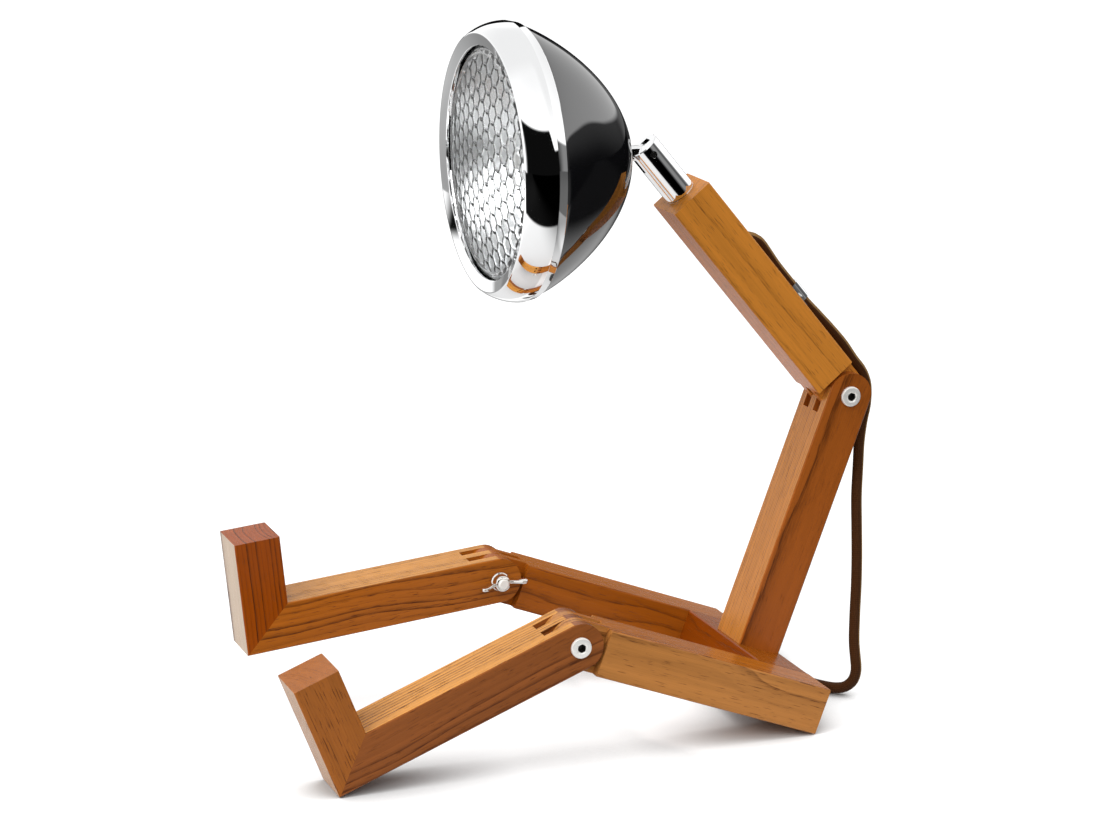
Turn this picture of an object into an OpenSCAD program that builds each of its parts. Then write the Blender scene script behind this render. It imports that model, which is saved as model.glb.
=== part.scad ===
// Desk lamp shaped like a seated robot figure: square-cut wooden sticks joined
// by comb hinges, a chrome neck post and a round headlamp.
// The figure faces -X and sits on the plane z = 0; its left side is -Y.

/* [Sticks] */
// Width of every stick, across the figure
stick_w = 30; // [26:0.5:36]
// Depth of every stick, front to back
stick_d = 25; // [22:0.5:30]
// Chamfer along the long edges of a stick
edge_chamfer = 0.6; // [0.2:0.1:1.2]

/* [Pelvis and legs] */
// Width across both thighs
pelvis_w = 154; // [140:1:180]
// Rear face of the pelvis to the knee pivots
thigh_len = 146; // [120:1:180]
// Knee pivot to the sole
shin_len = 143.5; // [120:0.5:180]
// Height of a foot, from the back of the calf to the toe end
foot_h = 62; // [50:1:80]
// Depth of the block between the thighs
block_len = 31; // [28:1:45]
// Bend of the left knee from straight
left_knee_bend = 42.1; // [30:0.1:60]
// Bend of the right knee from straight
right_knee_bend = 26.3; // [0:0.1:42]

/* [Torso] */
// Top of the pelvis block to the waist pivot
spine_len = 146; // [120:1:180]
// Rear face of the pelvis to the middle of the spine
spine_inset = 15; // [14:0.5:18]
// Waist pivot to the top of the upper torso
torso_len = 147; // [130:1:180]
// Bend of the waist from straight, forwards
waist_bend = 60; // [40:1:75]

/* [Comb hinges] */
// Gap between the round finger ends and the wood they face
comb_relief = 1.5; // [1:0.1:3]
// Side clearance of each tongue in its slot
comb_side_gap = 0.1; // [0.05:0.05:0.3]
// Diameter of the hinge bolts
bolt_d = 6; // [5:0.5:8]
// Diameter of the bolt heads
bolt_head_d = 11; // [10:0.5:14]
// Height of the bolt heads
bolt_head_h = 1.8; // [1.2:0.1:3]
// Width across the flats of the hexagon sockets
socket_af = 4; // [3:0.5:5]
// Radial clearance of pins and bolts in their bores
bore_gap = 0.05; // [0.02:0.01:0.1]
// Span of the wing nuts
wing_span = 27; // [24:0.5:34]
// Height of the wing nut hubs
wing_hub_h = 7; // [5:0.5:9]

/* [Neck] */
// Diameter of the neck post
neck_d = 17; // [13:0.5:18]
// Length of the neck post
neck_len = 35; // [30:0.5:45]
// Width of the slot in the top of the post
neck_slot_w = 5; // [4:0.5:7]
// Depth of the slot in the top of the post
neck_slot_depth = 12; // [10:0.5:14]
// Top of the post to the tilt pin
pin_drop = 5.2; // [4.6:0.1:6]
// Diameter of the tilt pin
pin_d = 4; // [3:0.5:4.5]
// Diameter of the threaded nipple that holds the post
nipple_d = 10; // [8:0.5:11]
// Diameter of the wire way through the neck
wire_way_d = 5.6; // [5:0.1:6]

/* [Headlamp] */
// Radius of the front lip of the rim
lip_r = 66.5; // [60:0.5:72]
// Largest radius of the rim, at its crease
crease_r = 72.2; // [68:0.1:80]
// Front lip to the crease
crease_depth = 16.2; // [14:0.1:20]
// Front lip to the back edge of the rim
rim_depth = 21.2; // [19.6:0.1:26]
// Front lip to the apex of the shell
head_depth = 79.3; // [74:0.1:90]
// Tilt pin to the apex of the shell
apex_gap = 12.8; // [12:0.1:16]
// Thickness of the rim and shell metal
sheet = 1; // [0.8:0.1:1.2]
// Radius of the opening that shows the lens
window_r = 60; // [56:0.5:62]
// Thickness of the lens
lens_t = 3.5; // [3:0.1:4]

/* [Joinery] */
// Diameter of the dowels between the thighs and the block
pelvis_dowel_d = 8; // [6:0.5:10]
// Diameter of the dowels in the mitred ankles
foot_dowel_d = 6; // [4:0.5:8]
// Shank diameter of the screws that hold the spine
screw_d = 5; // [4:0.5:6]

/* [Bulb] */
// Diameter of the bulb
bulb_d = 24; // [20:1:28]
// Diameter of the bulb's cap
cap_d = 15; // [13:0.5:17]

/* [Cord] */
// Diameter of the cord
cord_d = 6; // [5.6:0.1:6.4]
// Pivot of the waist to the middle of the cord's clip
clip_z = 60.5; // [45:0.5:75]
// Width of the cord's clip
clip_len = 10.7; // [8:0.1:14]
// Turns of the put-away coil in each of its two layers
coil_turns = 3.5; // [2:0.5:4]
// Radius of the innermost turn of the coil
coil_r = 18.5; // [17:0.5:26]

/* [Switch] */
// Length of the switch
switch_len = 52; // [46:1:64]
// Width of the switch
switch_w = 22; // [20:0.5:26]
// Height of the switch
switch_h = 16; // [15:0.5:20]
// Length of the rocker
rocker_len = 15; // [12:0.5:18]
// Width of the rocker
rocker_w = 8; // [6:0.5:10]
// Tip of the rocker to either side
rocker_tilt = 8; // [5:0.5:10]

/* [Plug] */
// Length of the plug's body
plug_len = 42; // [38:1:48]
// Width of the plug's body
plug_w = 26; // [25:0.5:32]
// Thickness of the plug's body
plug_t = 13.4; // [12:0.1:16]
// Diameter of the plug's pins
plug_pin_d = 4; // [3.5:0.1:4.8]
// Free length of the plug's pins
plug_pin_len = 19; // [15:0.5:20]
// Distance between the plug's pins
plug_pin_pitch = 18.6; // [17:0.1:19.5]

/* [Hidden] */
eps = 0.01;
$fn = 64;

// ---- comb hinges ----
fingers = 5;
finger_w = stick_w / fingers;
round_r = stick_d / 2;
shoulder = round_r + comb_relief;
tongue_w = finger_w - 2 * comb_side_gap;

// ---- pose: the left heel and the pelvis's rear edge stand on z = 0 ----
heel_along = thigh_len + shin_len * cos(left_knee_bend) - stick_d / 2 * sin(left_knee_bend);
heel_down = shin_len * sin(left_knee_bend) + stick_d / 2 * cos(left_knee_bend) - stick_d / 2;
pelvis_pitch = atan2(heel_down, heel_along);
head_turn = waist_bend - pelvis_pitch;
leg_y = (pelvis_w - stick_w) / 2;
block_w = pelvis_w - 2 * stick_w;

// A point turned about Y, as rotate([0, a, 0]) turns it.
function turn_y(p, a) = [p.x * cos(a) + p.z * sin(a), p.y, -p.x * sin(a) + p.z * cos(a)];

// The origin is the middle of the footprint, from the foremost toe to the back of the waist.
waist_at = turn_y([-spine_inset, 0, stick_d + spine_len], pelvis_pitch);
function toe_at(bend) =
    turn_y(
        [-thigh_len, 0, stick_d / 2]
            + turn_y([-shin_len, 0, foot_h - stick_d / 2], -bend),
        pelvis_pitch
    );
foremost_x = min(toe_at(left_knee_bend).x, toe_at(right_knee_bend).x);
stand_x = -(foremost_x + waist_at.x + round_r) / 2;

// ---- headlamp, measured back from the front lip ----
lip_x = -apex_gap - head_depth;
shell_r = crease_r - sheet - 0.9;
spigot_in = 7;
lens_overlap = 3.5;
lens_edge_r = window_r + lens_overlap;
lens_seat = 3.2;
lens_dome = 4;
gasket_wall = 2;
lens_back = lens_seat + lens_t;
gasket_back = lens_back + gasket_wall;
bowl_front = gasket_back + sheet;
holder_gap = 11.3;
holder_depth = 13;
bulb_reach = 35;
cap_reach = 21;
cap_seat = 6;
holder_back = head_depth - holder_gap;
collar_back = holder_back - holder_depth;
bowl_apex = collar_back - 1;
bowl_r = window_r - 2;
bowl_neck_r = 13;
stud_d = 8;

// ---- cord ----
cord_r = cord_d / 2;
seam_gap = 0.3;
inner_lead_r = 2;
cord_clear = 0.1;
back_x = stick_d / 2 + cord_r + cord_clear;
lay = cord_r + cord_clear;
cord_sides = 8;
channel_r = cord_r + 1;
nipple_in_wood = 12;
grip_len = 8;
grip_z = torso_len - nipple_in_wood - grip_len - 0.5;

wood = "#b5763a";
dark_wood = "#8a5426";
nickel = "#c9c9c6";
chrome = "#d8dadc";
lacquer = "#141416";
glass = "#e4eef0";
silver = "#cfd2d4";
cord_brown = "#5b3a22";
black_plastic = "#222222";

// ================= frames =================

// The pelvis: +X towards its rear face, +Z out of its top, origin on the rear bottom edge.
module pelvis_frame() {
    translate([stand_x, 0, 0])
        rotate([0, pelvis_pitch, 0])
            children();
}

// A leg's knee pivot, with the shin along -X. side is -1 on the left and 1 on the right.
module knee_frame(side) {
    bend = side < 0 ? left_knee_bend : right_knee_bend;
    pelvis_frame()
        translate([-thigh_len, side * leg_y, stick_d / 2])
            rotate([0, -bend, 0])
                children();
}

// The spine: +Z along it, origin on the waist pivot.
module spine_frame() {
    pelvis_frame()
        translate([-spine_inset, 0, stick_d + spine_len])
            children();
}

// The upper torso: +Z along it, -X towards its front, origin on the waist pivot.
module torso_frame() {
    spine_frame()
        rotate([0, -waist_bend, 0])
            children();
}

// The neck post: +Z along it, origin at its foot.
module neck_frame() {
    torso_frame()
        translate([0, 0, torso_len])
            children();
}

// The headlamp: it looks along -X, origin on the tilt pin.
module head_frame() {
    neck_frame()
        translate([0, 0, neck_len - pin_drop])
            rotate([0, head_turn, 0])
                children();
}

// Turns a profile of [radius, distance behind the front lip] about the lamp's axis.
module head_revolve(profile) {
    head_frame()
        translate([lip_x, 0, 0])
            rotate([0, 90, 0])
                rotate_extrude($fn = 96)
                    polygon(profile);
}

// The place over the floor of a point of the torso's frame, for the cord's seam at the waist.
function torso_to_floor(p) = turn_y(p, pelvis_pitch - waist_bend) + waist_at + [stand_x, 0, 0];

// ================= shared shapes =================

// A stick's cross-section, chamfered, across by deep.
module stick_section() {
    w = stick_w / 2;
    d = stick_d / 2;
    c = edge_chamfer;
    polygon([
        [-w + c, -d], [w - c, -d], [w, -d + c], [w, d - c],
        [w - c, d], [-w + c, d], [-w, d - c], [-w, -d + c]
    ]);
}

// A stick along +X from 0 to len, centred on the axis.
module stick_x(len) {
    rotate([90, 0, 90])
        linear_extrude(len)
            stick_section();
}

// A cylinder along Y, centred.
module y_rod(r, len) {
    rotate([90, 0, 0])
        cylinder(r = r, h = len, center = true);
}

// Fingers of a comb, cut from the stick: round about the pivot, running back along +X.
module comb(indices, width) {
    reach = shoulder + eps;
    intersection() {
        translate([-round_r, 0, 0])
            stick_x(round_r + reach);
        for (index = indices)
            translate([0, (index - (fingers - 1) / 2) * finger_w, 0]) {
                y_rod(round_r, width);
                translate([0, -width / 2, -round_r])
                    cube([reach, width, stick_d]);
            }
    }
}

// The two tongues, for the stick that is cut back to its shoulder.
module tongues() {
    comb([1, 3], tongue_w);
}

// The three prongs of the stick that holds the bolt.
module prongs() {
    comb([0, 2, 4], finger_w);
}

// The bolt's way through the sticks.
module bolt_way(gap) {
    y_rod(bolt_d / 2 + gap, stick_w + 2);
}

// A flat-headed bolt along +Y from its head at -Y, with a hexagon socket.
module hinge_bolt() {
    thread_end = stick_w / 2 + wing_hub_h + 1;
    head_y = -stick_w / 2;
    rotate([-90, 0, 0])
        difference() {
            union() {
                translate([0, 0, head_y])
                    cylinder(d = bolt_d, h = thread_end - head_y);
                translate([0, 0, head_y - bolt_head_h])
                    rotate_extrude()
                        polygon([
                            [0, 0], [bolt_head_d / 2 - 0.7, 0], [bolt_head_d / 2, 0.7],
                            [bolt_head_d / 2, bolt_head_h], [0, bolt_head_h]
                        ]);
            }
            translate([0, 0, head_y - bolt_head_h - eps])
                cylinder(d = socket_af / cos(30), h = bolt_head_h + 1.5, $fn = 6);
        }
}

// A wing nut on the bolt's end, standing out along +Y from the stick.
module wing_nut() {
    base_r = bolt_d / 2 + 2.4;
    top_r = bolt_d / 2 + 1.4;
    tip = wing_span / 2;
    wing_t = 1.8;
    translate([0, stick_w / 2, 0])
        rotate([-90, 0, 0])
            difference() {
                union() {
                    rotate_extrude()
                        polygon([
                            [0, 0], [base_r, 0], [base_r, 1.6], [base_r - 0.5, 2.2],
                            [top_r, wing_hub_h - 0.6], [top_r - 0.6, wing_hub_h], [0, wing_hub_h]
                        ]);
                    for (side = [0, 180])
                        rotate([90, 0, side])
                            linear_extrude(wing_t, center = true)
                                polygon([
                                    [base_r - 1.2, 1.4], [base_r + 1.2, 2], [tip - 1.8, 4.6],
                                    [tip - 0.4, 5.8], [tip, 7.6], [tip - 0.4, 9.6], [tip - 1.6, 10.8],
                                    [tip - 3.4, 10.6], [tip - 5.2, 8.8], [base_r + 0.2, 6.4],
                                    [base_r - 1.6, 5.8]
                                ]);
                }
                translate([0, 0, -1])
                    cylinder(r = bolt_d / 2 + bore_gap, h = wing_hub_h + 2);
            }
}

// A countersunk wood screw along +Z, its head's face at z = 0.
module wood_screw(head_r, shank_r, shank_len, core_r, len) {
    rotate_extrude()
        polygon([
            [0, 0], [head_r, 0], [shank_r, head_r - shank_r], [shank_r, shank_len],
            [core_r, shank_len], [core_r, len - 3], [0, len]
        ]);
}

// ================= swept cord =================

function unit(v) = v / norm(v);

// The direction of the route at each point, given its first and last directions.
function route_dirs(pts, first, last) = [
    for (i = [0 : len(pts) - 1])
        i == 0 ? unit(first)
        : i == len(pts) - 1 ? unit(last)
        : unit(unit(pts[i + 1] - pts[i]) + unit(pts[i] - pts[i - 1]))
];

// A side vector for each direction, carried along with as little twist as it can have.
function carried_sides(dirs, side) = [
    for (
        i = 0, s = unit(side - dirs[0] * (side * dirs[0]));
        i < len(dirs);
        i = i + 1,
        s = i < len(dirs) ? unit(s - dirs[i] * (s * dirs[i])) : s
    ) s
];

// A closed round tube along pts. The first corner of each ring stands at start degrees.
module tube(pts, dirs, sides_at, radius, sides, start = 0) {
    rings = len(pts);
    corners = [
        for (i = [0 : rings - 1])
            let (u = sides_at[i], v = cross(dirs[i], sides_at[i]))
                for (k = [0 : sides - 1])
                    let (a = start + 360 * k / sides)
                        pts[i] + radius * (cos(a) * u + sin(a) * v)
    ];
    walls = [
        for (i = [0 : rings - 2], k = [0 : sides - 1])
            let (
                a = i * sides + k,
                b = i * sides + (k + 1) % sides,
                c = b + sides,
                d = a + sides
            )
                each [[a, b, c], [a, c, d]]
    ];
    front = [for (k = [1 : sides - 2]) [0, k + 1, k]];
    far = (rings - 1) * sides;
    back = [for (k = [1 : sides - 2]) [far, far + k, far + k + 1]];
    polyhedron(points = corners, faces = [for (f = concat(walls, front, back)) [f[0], f[2], f[1]]]);
}

// A free stretch of cord along a hand-chosen route.
module cord_along(pts, first, last, side) {
    dirs = route_dirs(pts, first, last);
    tube(pts, dirs, carried_sides(dirs, side), cord_r, cord_sides);
}

// ================= cord routes =================

// Down the back of the torso, in the torso's frame: from its grip, out of its hole, under
// the clip and on to the seam at the waist.
back_route = [
    [0, 0, grip_z], [0.3, 0, 123.4], [1.1, 0, 120.8], [2.4, 0, 118.6], [5, 0, 114.9],
    [9, 0, 109.1], [13.3, 0, 103.2], [15.3, 0, 100.4], [16.4, 0, 97.3], [16.6, 0, 93.9],
    [16.1, 0, 87], [back_x, 0, 80], [back_x, 0, 66], [back_x, 0, 54], [16.5, 0, 42],
    [17.3, 0, 30], [17.6, 0, 19], [16.8, 0, 8]
];
back_end = [-0.12, 0, -1];
seam_dir = turn_y(back_end, pelvis_pitch - waist_bend);
seam_at = torso_to_floor(back_route[len(back_route) - 1] + seam_gap * unit(back_end));

// From the waist to the floor and behind the pelvis, measured from the pelvis's rear edge.
drop_route = [
    [59.8, 0, 175.6], [62, 0, 171.3], [63.1, -0.5, 166.6], [62.6, -1.5, 157], [60, -3, 148],
    [57.5, -5, 137], [55.5, -8, 124], [53.5, -11, 108], [52.5, -14, 92], [51.5, -17, 76],
    [50, -20, 60], [48, -23, 44], [46.5, -26, 30], [46.3, -28.5, 21], [46.3, -29.5, 15.6],
    [45.2, -28.3, 9.3], [42.1, -24.9, 4.8], [37.9, -20.2, lay], [32, -13, lay], [28, -5, lay],
    [25.6, 4, lay], [24.6, 13, lay], [24.5, 22, 4.6], [24.3, 31, 6.6]
];
switch_at = [21, 64, 0];
switch_turn = 96;
link_route = [
    [17.6, 99, 6.3], [16.4, 108.5, 4.3], [14.2, 118, lay], [10.9, 128, lay], [5.8, 138.5, lay]
];
plug_lead_len = 34;

// ================= put-away coil =================

// Two spiral layers in one tube: in along the floor, up in the half turn at the
// middle, and out again on top. s counts turns from the reversal.
coil_at = [-35, 124];
coil_gap = 0.6;
coil_step = cord_d + coil_gap;
coil_sides = 6;
coil_steps = 24;
coil_in_angle = 45;
function coil_radius(s) = coil_r + coil_step * abs(s);
function coil_height(s) = lay + coil_step * max(0, min(1, 2 * s + 0.5));
function coil_point(s) =
    let (a = coil_in_angle + 360 * (s + coil_turns))
        [coil_radius(s) * cos(a), coil_radius(s) * sin(a), coil_height(s)];
function level(v) = unit([v.x, v.y, 0]);
coil_turn_points = [
    for (i = [0 : 2 * coil_turns * coil_steps])
        coil_point(-coil_turns + i / coil_steps)
];
coil_count = len(coil_turn_points);
coil_in_dir = level(coil_turn_points[1] - coil_turn_points[0]);
coil_out_dir = level(coil_turn_points[coil_count - 1] - coil_turn_points[coil_count - 2]);
coil_points = concat(
    [coil_turn_points[0] - cord_d * coil_in_dir],
    coil_turn_points,
    [coil_turn_points[coil_count - 1] + cord_d * coil_out_dir]
);
coil_dirs = route_dirs(coil_points, coil_in_dir, coil_out_dir);
coil_sides_at = [for (d = coil_dirs) unit(cross([0, 0, 1], d))];

// The least gap between one turn of the coil and any other, of tubes as round as the cord.
coil_least_gap = min([
    for (i = [0 : len(coil_points) - 1], j = [i + coil_steps / 2 : 1 : len(coil_points) - 1])
        norm(coil_points[i] - coil_points[j])
]) - cord_d;
echo(coil_least_gap = coil_least_gap);

// ================= pelvis =================

module thigh(side) {
    color(wood)
        pelvis_frame()
            translate([-thigh_len, side * leg_y, stick_d / 2])
                difference() {
                    union() {
                        translate([shoulder, 0, 0])
                            stick_x(thigh_len - shoulder);
                        tongues();
                    }
                    bolt_way(bore_gap);
                    pelvis_dowel_places(side)
                        y_rod(dowel_r, 2 * dowel_in_thigh);
                }
}

// Dowels between a thigh and the block, on the thigh's inner face.
dowel_r = pelvis_dowel_d / 2;
dowel_in_thigh = 16;
dowel_in_block = 20;
module pelvis_dowel_places(side) {
    for (along = [0.25, 0.75])
        translate([thigh_len - block_len * along, -side * stick_w / 2, 0])
            children();
}

module left_thigh() { thigh(-1); }
module right_thigh() { thigh(1); }

// The block's cross-section, chamfered like the sticks, front to back by height.
module block_section() {
    c = edge_chamfer;
    polygon([
        [c, 0], [block_len - c, 0], [block_len, c], [block_len, stick_d - c],
        [block_len - c, stick_d], [c, stick_d], [0, stick_d - c], [0, c]
    ]);
}

module pelvis_block() {
    color(wood)
        pelvis_frame()
            difference() {
                translate([-block_len, block_w / 2, 0])
                    rotate([90, 0, 0])
                        linear_extrude(block_w)
                            block_section();
                for (side = [-1, 1], along = [0.25, 0.75])
                    translate([-block_len * along, side * block_w / 2, stick_d / 2])
                        y_rod(dowel_r, 2 * dowel_in_block);
                spine_screw_places()
                    translate([0, 0, -eps])
                        wood_screw(screw_head_r + 0.1, screw_r + 0.1, stick_d + 1, screw_r, stick_d + 4);
            }
}

module pelvis_dowels() {
    color(dark_wood)
        pelvis_frame()
            for (side = [-1, 1], along = [0.25, 0.75])
                translate([
                    -block_len * along,
                    side * (block_w / 2 + (dowel_in_thigh - dowel_in_block) / 2), stick_d / 2
                ])
                    y_rod(dowel_r - 0.02, dowel_in_thigh + dowel_in_block - 1);
}

// Screws from below, through the block into the end of the spine.
screw_r = screw_d / 2;
screw_head_r = screw_r + 2.3;
screw_core_r = screw_r - 0.5;
screw_bite = 30;
screw_len = stick_d + screw_bite;
module spine_screw_places() {
    for (y = [-stick_w / 4, stick_w / 4])
        translate([-spine_inset, y, 0])
            children();
}

module spine_screws() {
    color(nickel)
        pelvis_frame()
            spine_screw_places()
                wood_screw(screw_head_r, screw_r, stick_d, screw_core_r, screw_len);
}

module spine() {
    color(wood)
        spine_frame()
            difference() {
                union() {
                    rotate([0, 90, 0])
                        prongs();
                    translate([0, 0, -spine_len])
                        rotate([0, 0, 90])
                            linear_extrude(spine_len - shoulder)
                                stick_section();
                }
                bolt_way(0);
                translate([spine_inset, 0, -spine_len - stick_d])
                    spine_screw_places()
                        translate([0, 0, stick_d - eps])
                            cylinder(r = screw_core_r + 0.02, h = screw_len - stick_d + 1);
            }
}

module waist_bolt() {
    color(nickel)
        spine_frame()
            hinge_bolt();
}

module waist_wing_nut() {
    color(nickel)
        spine_frame()
            rotate([0, 25, 0])
                wing_nut();
}

// ================= legs =================

foot_dowel_r = foot_dowel_d / 2;
foot_dowel_half = 11;
foot_mitre = 45;

// The plane where shin and foot are mitred together: half space beyond it.
module beyond_mitre() {
    translate([-shin_len, 0, -stick_d / 2])
        rotate([0, foot_mitre, 0])
            translate([-200, -stick_w, -200])
                cube([200, 2 * stick_w, 400]);
}

module foot_dowel_rods(r, half) {
    for (y = [-stick_w / 4, stick_w / 4])
        translate([-shin_len + stick_d / 2, y, 0])
            rotate([0, -foot_mitre, 0])
                cylinder(r = r, h = 2 * half, center = true);
}

module shin(side) {
    color(wood)
        knee_frame(side)
            difference() {
                union() {
                    mirror([1, 0, 0])
                        prongs();
                    translate([-shin_len, 0, 0])
                        stick_x(shin_len - shoulder);
                }
                beyond_mitre();
                bolt_way(0);
                foot_dowel_rods(foot_dowel_r, foot_dowel_half + 0.5);
            }
}

module foot(side) {
    color(wood)
        knee_frame(side)
            difference() {
                translate([-shin_len + stick_d / 2, 0, -stick_d / 2])
                    rotate([0, 0, 90])
                        linear_extrude(foot_h)
                            stick_section();
                difference() {
                    translate([-shin_len - 1, -stick_w, -stick_d])
                        cube([stick_d + 2, 2 * stick_w, 2 * stick_d]);
                    beyond_mitre();
                }
                foot_dowel_rods(foot_dowel_r, foot_dowel_half + 0.5);
            }
}

module foot_dowels(side) {
    color(dark_wood)
        knee_frame(side)
            foot_dowel_rods(foot_dowel_r - 0.02, foot_dowel_half);
}

// A knee's bolt head is on the outside of its leg and the wing nut on the inside.
module knee_hardware(side, turn) {
    color(nickel)
        knee_frame(side)
            mirror([0, side > 0 ? 1 : 0, 0])
                rotate([0, turn, 0])
                    children();
}

module left_shin() { shin(-1); }
module left_foot() { foot(-1); }
module left_foot_dowels() { foot_dowels(-1); }
module left_knee_bolt() { knee_hardware(-1, 0) hinge_bolt(); }
module left_knee_wing_nut() { knee_hardware(-1, 30) wing_nut(); }
module right_shin() { shin(1); }
module right_foot() { foot(1); }
module right_foot_dowels() { foot_dowels(1); }
module right_knee_bolt() { knee_hardware(1, 0) hinge_bolt(); }
module right_knee_wing_nut() { knee_hardware(1, 0) wing_nut(); }

// ================= upper torso and neck =================

nipple_in_post = 16;
washer_t = 1.2;
channel_end = 112;
exit_z = 121.1;
exit_fall = 55;
exit_gap = 1;

module upper_torso() {
    color(wood)
        torso_frame()
            difference() {
                union() {
                    rotate([0, -90, 0])
                        tongues();
                    translate([0, 0, shoulder])
                        rotate([0, 0, 90])
                            linear_extrude(torso_len - shoulder)
                                stick_section();
                }
                bolt_way(bore_gap);
                translate([0, 0, torso_len - nipple_in_wood])
                    cylinder(d = nipple_d, h = nipple_in_wood + 1);
                translate([0, 0, channel_end])
                    cylinder(r = channel_r, h = torso_len - channel_end - nipple_in_wood + 1);
                cord_exit_hole();
                for (y = [-clip_screw_y, clip_screw_y])
                    translate([stick_d / 2 - 8, y, clip_z])
                        rotate([0, 90, 0])
                            cylinder(r = 0.9, h = 9);
            }
}

// The slanted hole by which the cord leaves the torso's back.
module cord_exit_hole() {
    translate([0, 0, exit_z])
        rotate([0, 90 + exit_fall, 0])
            cylinder(r = cord_r + exit_gap, h = stick_d);
}

module neck_nipple() {
    color(nickel)
        neck_frame()
            difference() {
                translate([0, 0, -nipple_in_wood])
                    cylinder(d = nipple_d - 0.02, h = nipple_in_wood + nipple_in_post);
                translate([0, 0, -nipple_in_wood - 1])
                    cylinder(d = wire_way_d, h = nipple_in_wood + nipple_in_post + 2);
            }
}

module neck_washer() {
    color(nickel)
        neck_frame()
            difference() {
                cylinder(d = neck_d, h = washer_t);
                translate([0, 0, -1])
                    cylinder(d = nipple_d + 0.2, h = washer_t + 2);
            }
}

// The inner lead from the cord's grip up through the neck.
module torso_lead() {
    color(black_plastic)
        torso_frame()
            translate([0, 0, grip_z + grip_floor])
                cylinder(
                    r = inner_lead_r,
                    h = torso_len + neck_len - neck_slot_depth - grip_z - grip_floor
                );
}

// The grip that holds the cord's end inside the torso.
grip_floor = 3.5;
module cord_grip() {
    color(black_plastic)
        torso_frame()
            translate([0, 0, grip_z])
                difference() {
                    cylinder(r = channel_r - 0.05, h = grip_len);
                    translate([0, 0, grip_floor])
                        cylinder(r = inner_lead_r + 0.02, h = grip_len);
                }
}

clip_screw_y = cord_r + 5;
module cord_clip() {
    strap = 1;
    inner = cord_r + 0.12;
    outer = inner + strap;
    foot_y = clip_screw_y + 3;
    crown_x = cord_r + cord_clear;
    color(chrome)
        torso_frame()
            translate([stick_d / 2, 0, clip_z - clip_len / 2])
                difference() {
                    linear_extrude(clip_len)
                        intersection() {
                            difference() {
                                union() {
                                    translate([crown_x, 0])
                                        circle(r = outer);
                                    translate([0, -outer])
                                        square([crown_x, 2 * outer]);
                                    translate([0, -foot_y])
                                        square([strap, 2 * foot_y]);
                                }
                                translate([crown_x, 0])
                                    circle(r = inner);
                                translate([-1, -inner])
                                    square([crown_x + 1, 2 * inner]);
                            }
                            translate([0, -foot_y])
                                square([crown_x + outer, 2 * foot_y]);
                        }
                    for (y = [-clip_screw_y, clip_screw_y])
                        translate([-1, y, clip_len / 2])
                            rotate([0, 90, 0])
                                cylinder(r = 1.4, h = 4);
                }
}

module clip_screws() {
    color(nickel)
        torso_frame()
            for (y = [-clip_screw_y, clip_screw_y])
                translate([stick_d / 2 + 1, y, clip_z])
                    rotate([0, 90, 0]) {
                        translate([0, 0, -8])
                            cylinder(r = 0.88, h = 8.1);
                        rotate_extrude()
                            polygon([[0, 0], [2.3, 0], [2.2, 0.7], [1.5, 1.3], [0, 1.5]]);
                    }
}

module cord_back() {
    color(cord_brown)
        torso_frame()
            cord_along(back_route, [0, 0, -1], back_end, [0, 1, 0]);
}

module neck_post() {
    slot_back = pin_d / 2 + 2.6;
    color(chrome)
        neck_frame()
            difference() {
                rotate_extrude()
                    polygon([
                        [0, washer_t], [neck_d / 2 - 0.4, washer_t], [neck_d / 2, washer_t + 0.4],
                        [neck_d / 2, neck_len - 0.5], [neck_d / 2 - 0.5, neck_len], [0, neck_len]
                    ]);
                translate([0, 0, washer_t - 1])
                    cylinder(r = nipple_d / 2 + bore_gap, h = nipple_in_post + 1.4);
                cylinder(d = wire_way_d, h = neck_len - neck_slot_depth + 1);
                translate([-neck_d, -neck_slot_w / 2, neck_len - neck_slot_depth])
                    cube([neck_d + slot_back, neck_slot_w, neck_slot_depth + 1]);
                translate([0, 0, neck_len - pin_drop])
                    y_rod(pin_d / 2, neck_d + 2);
            }
}

module tilt_pin() {
    color(nickel)
        neck_frame()
            translate([0, 0, neck_len - pin_drop])
                y_rod(pin_d / 2 - 0.01, neck_d - 0.8);
}

// ================= headlamp =================

// The rim: a convex band to the crease, a short cone behind it and a flat front flange.
band_rise = crease_r - lip_r;
band_r = (crease_depth * crease_depth + band_rise * band_rise) / (2 * band_rise);
band_steps = 8;
function band_point(depth, inset) =
    [crease_r - band_r + sqrt(pow(band_r - inset, 2) - pow(crease_depth - depth, 2)), depth];
flange_depth = 1.9;

module rim_ring() {
    outer = [for (i = [0 : band_steps]) band_point(crease_depth * i / band_steps, 0)];
    inner = [for (i = [band_steps : -1 : 1]) band_point(crease_depth * i / band_steps, sheet)];
    color(chrome)
        head_revolve(concat(
            [[window_r, flange_depth]], outer,
            [[crease_r - 1, rim_depth], [crease_r - 1 - sheet, rim_depth]], inner,
            [[window_r, flange_depth + sheet]]
        ));
}

// The shell's bell curve, inset for its inside.
bell_power = 1.18;
bell_root = 0.487;
bell_steps = 22;
function bell_point(i, inset) =
    let (
        a = 90 * i / bell_steps,
        u = sin(a),
        depth = rim_depth + (head_depth - inset - rim_depth) * u
    )
        [(shell_r - inset) * pow(max(0, 1 - pow(u, bell_power)), bell_root), depth];

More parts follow.
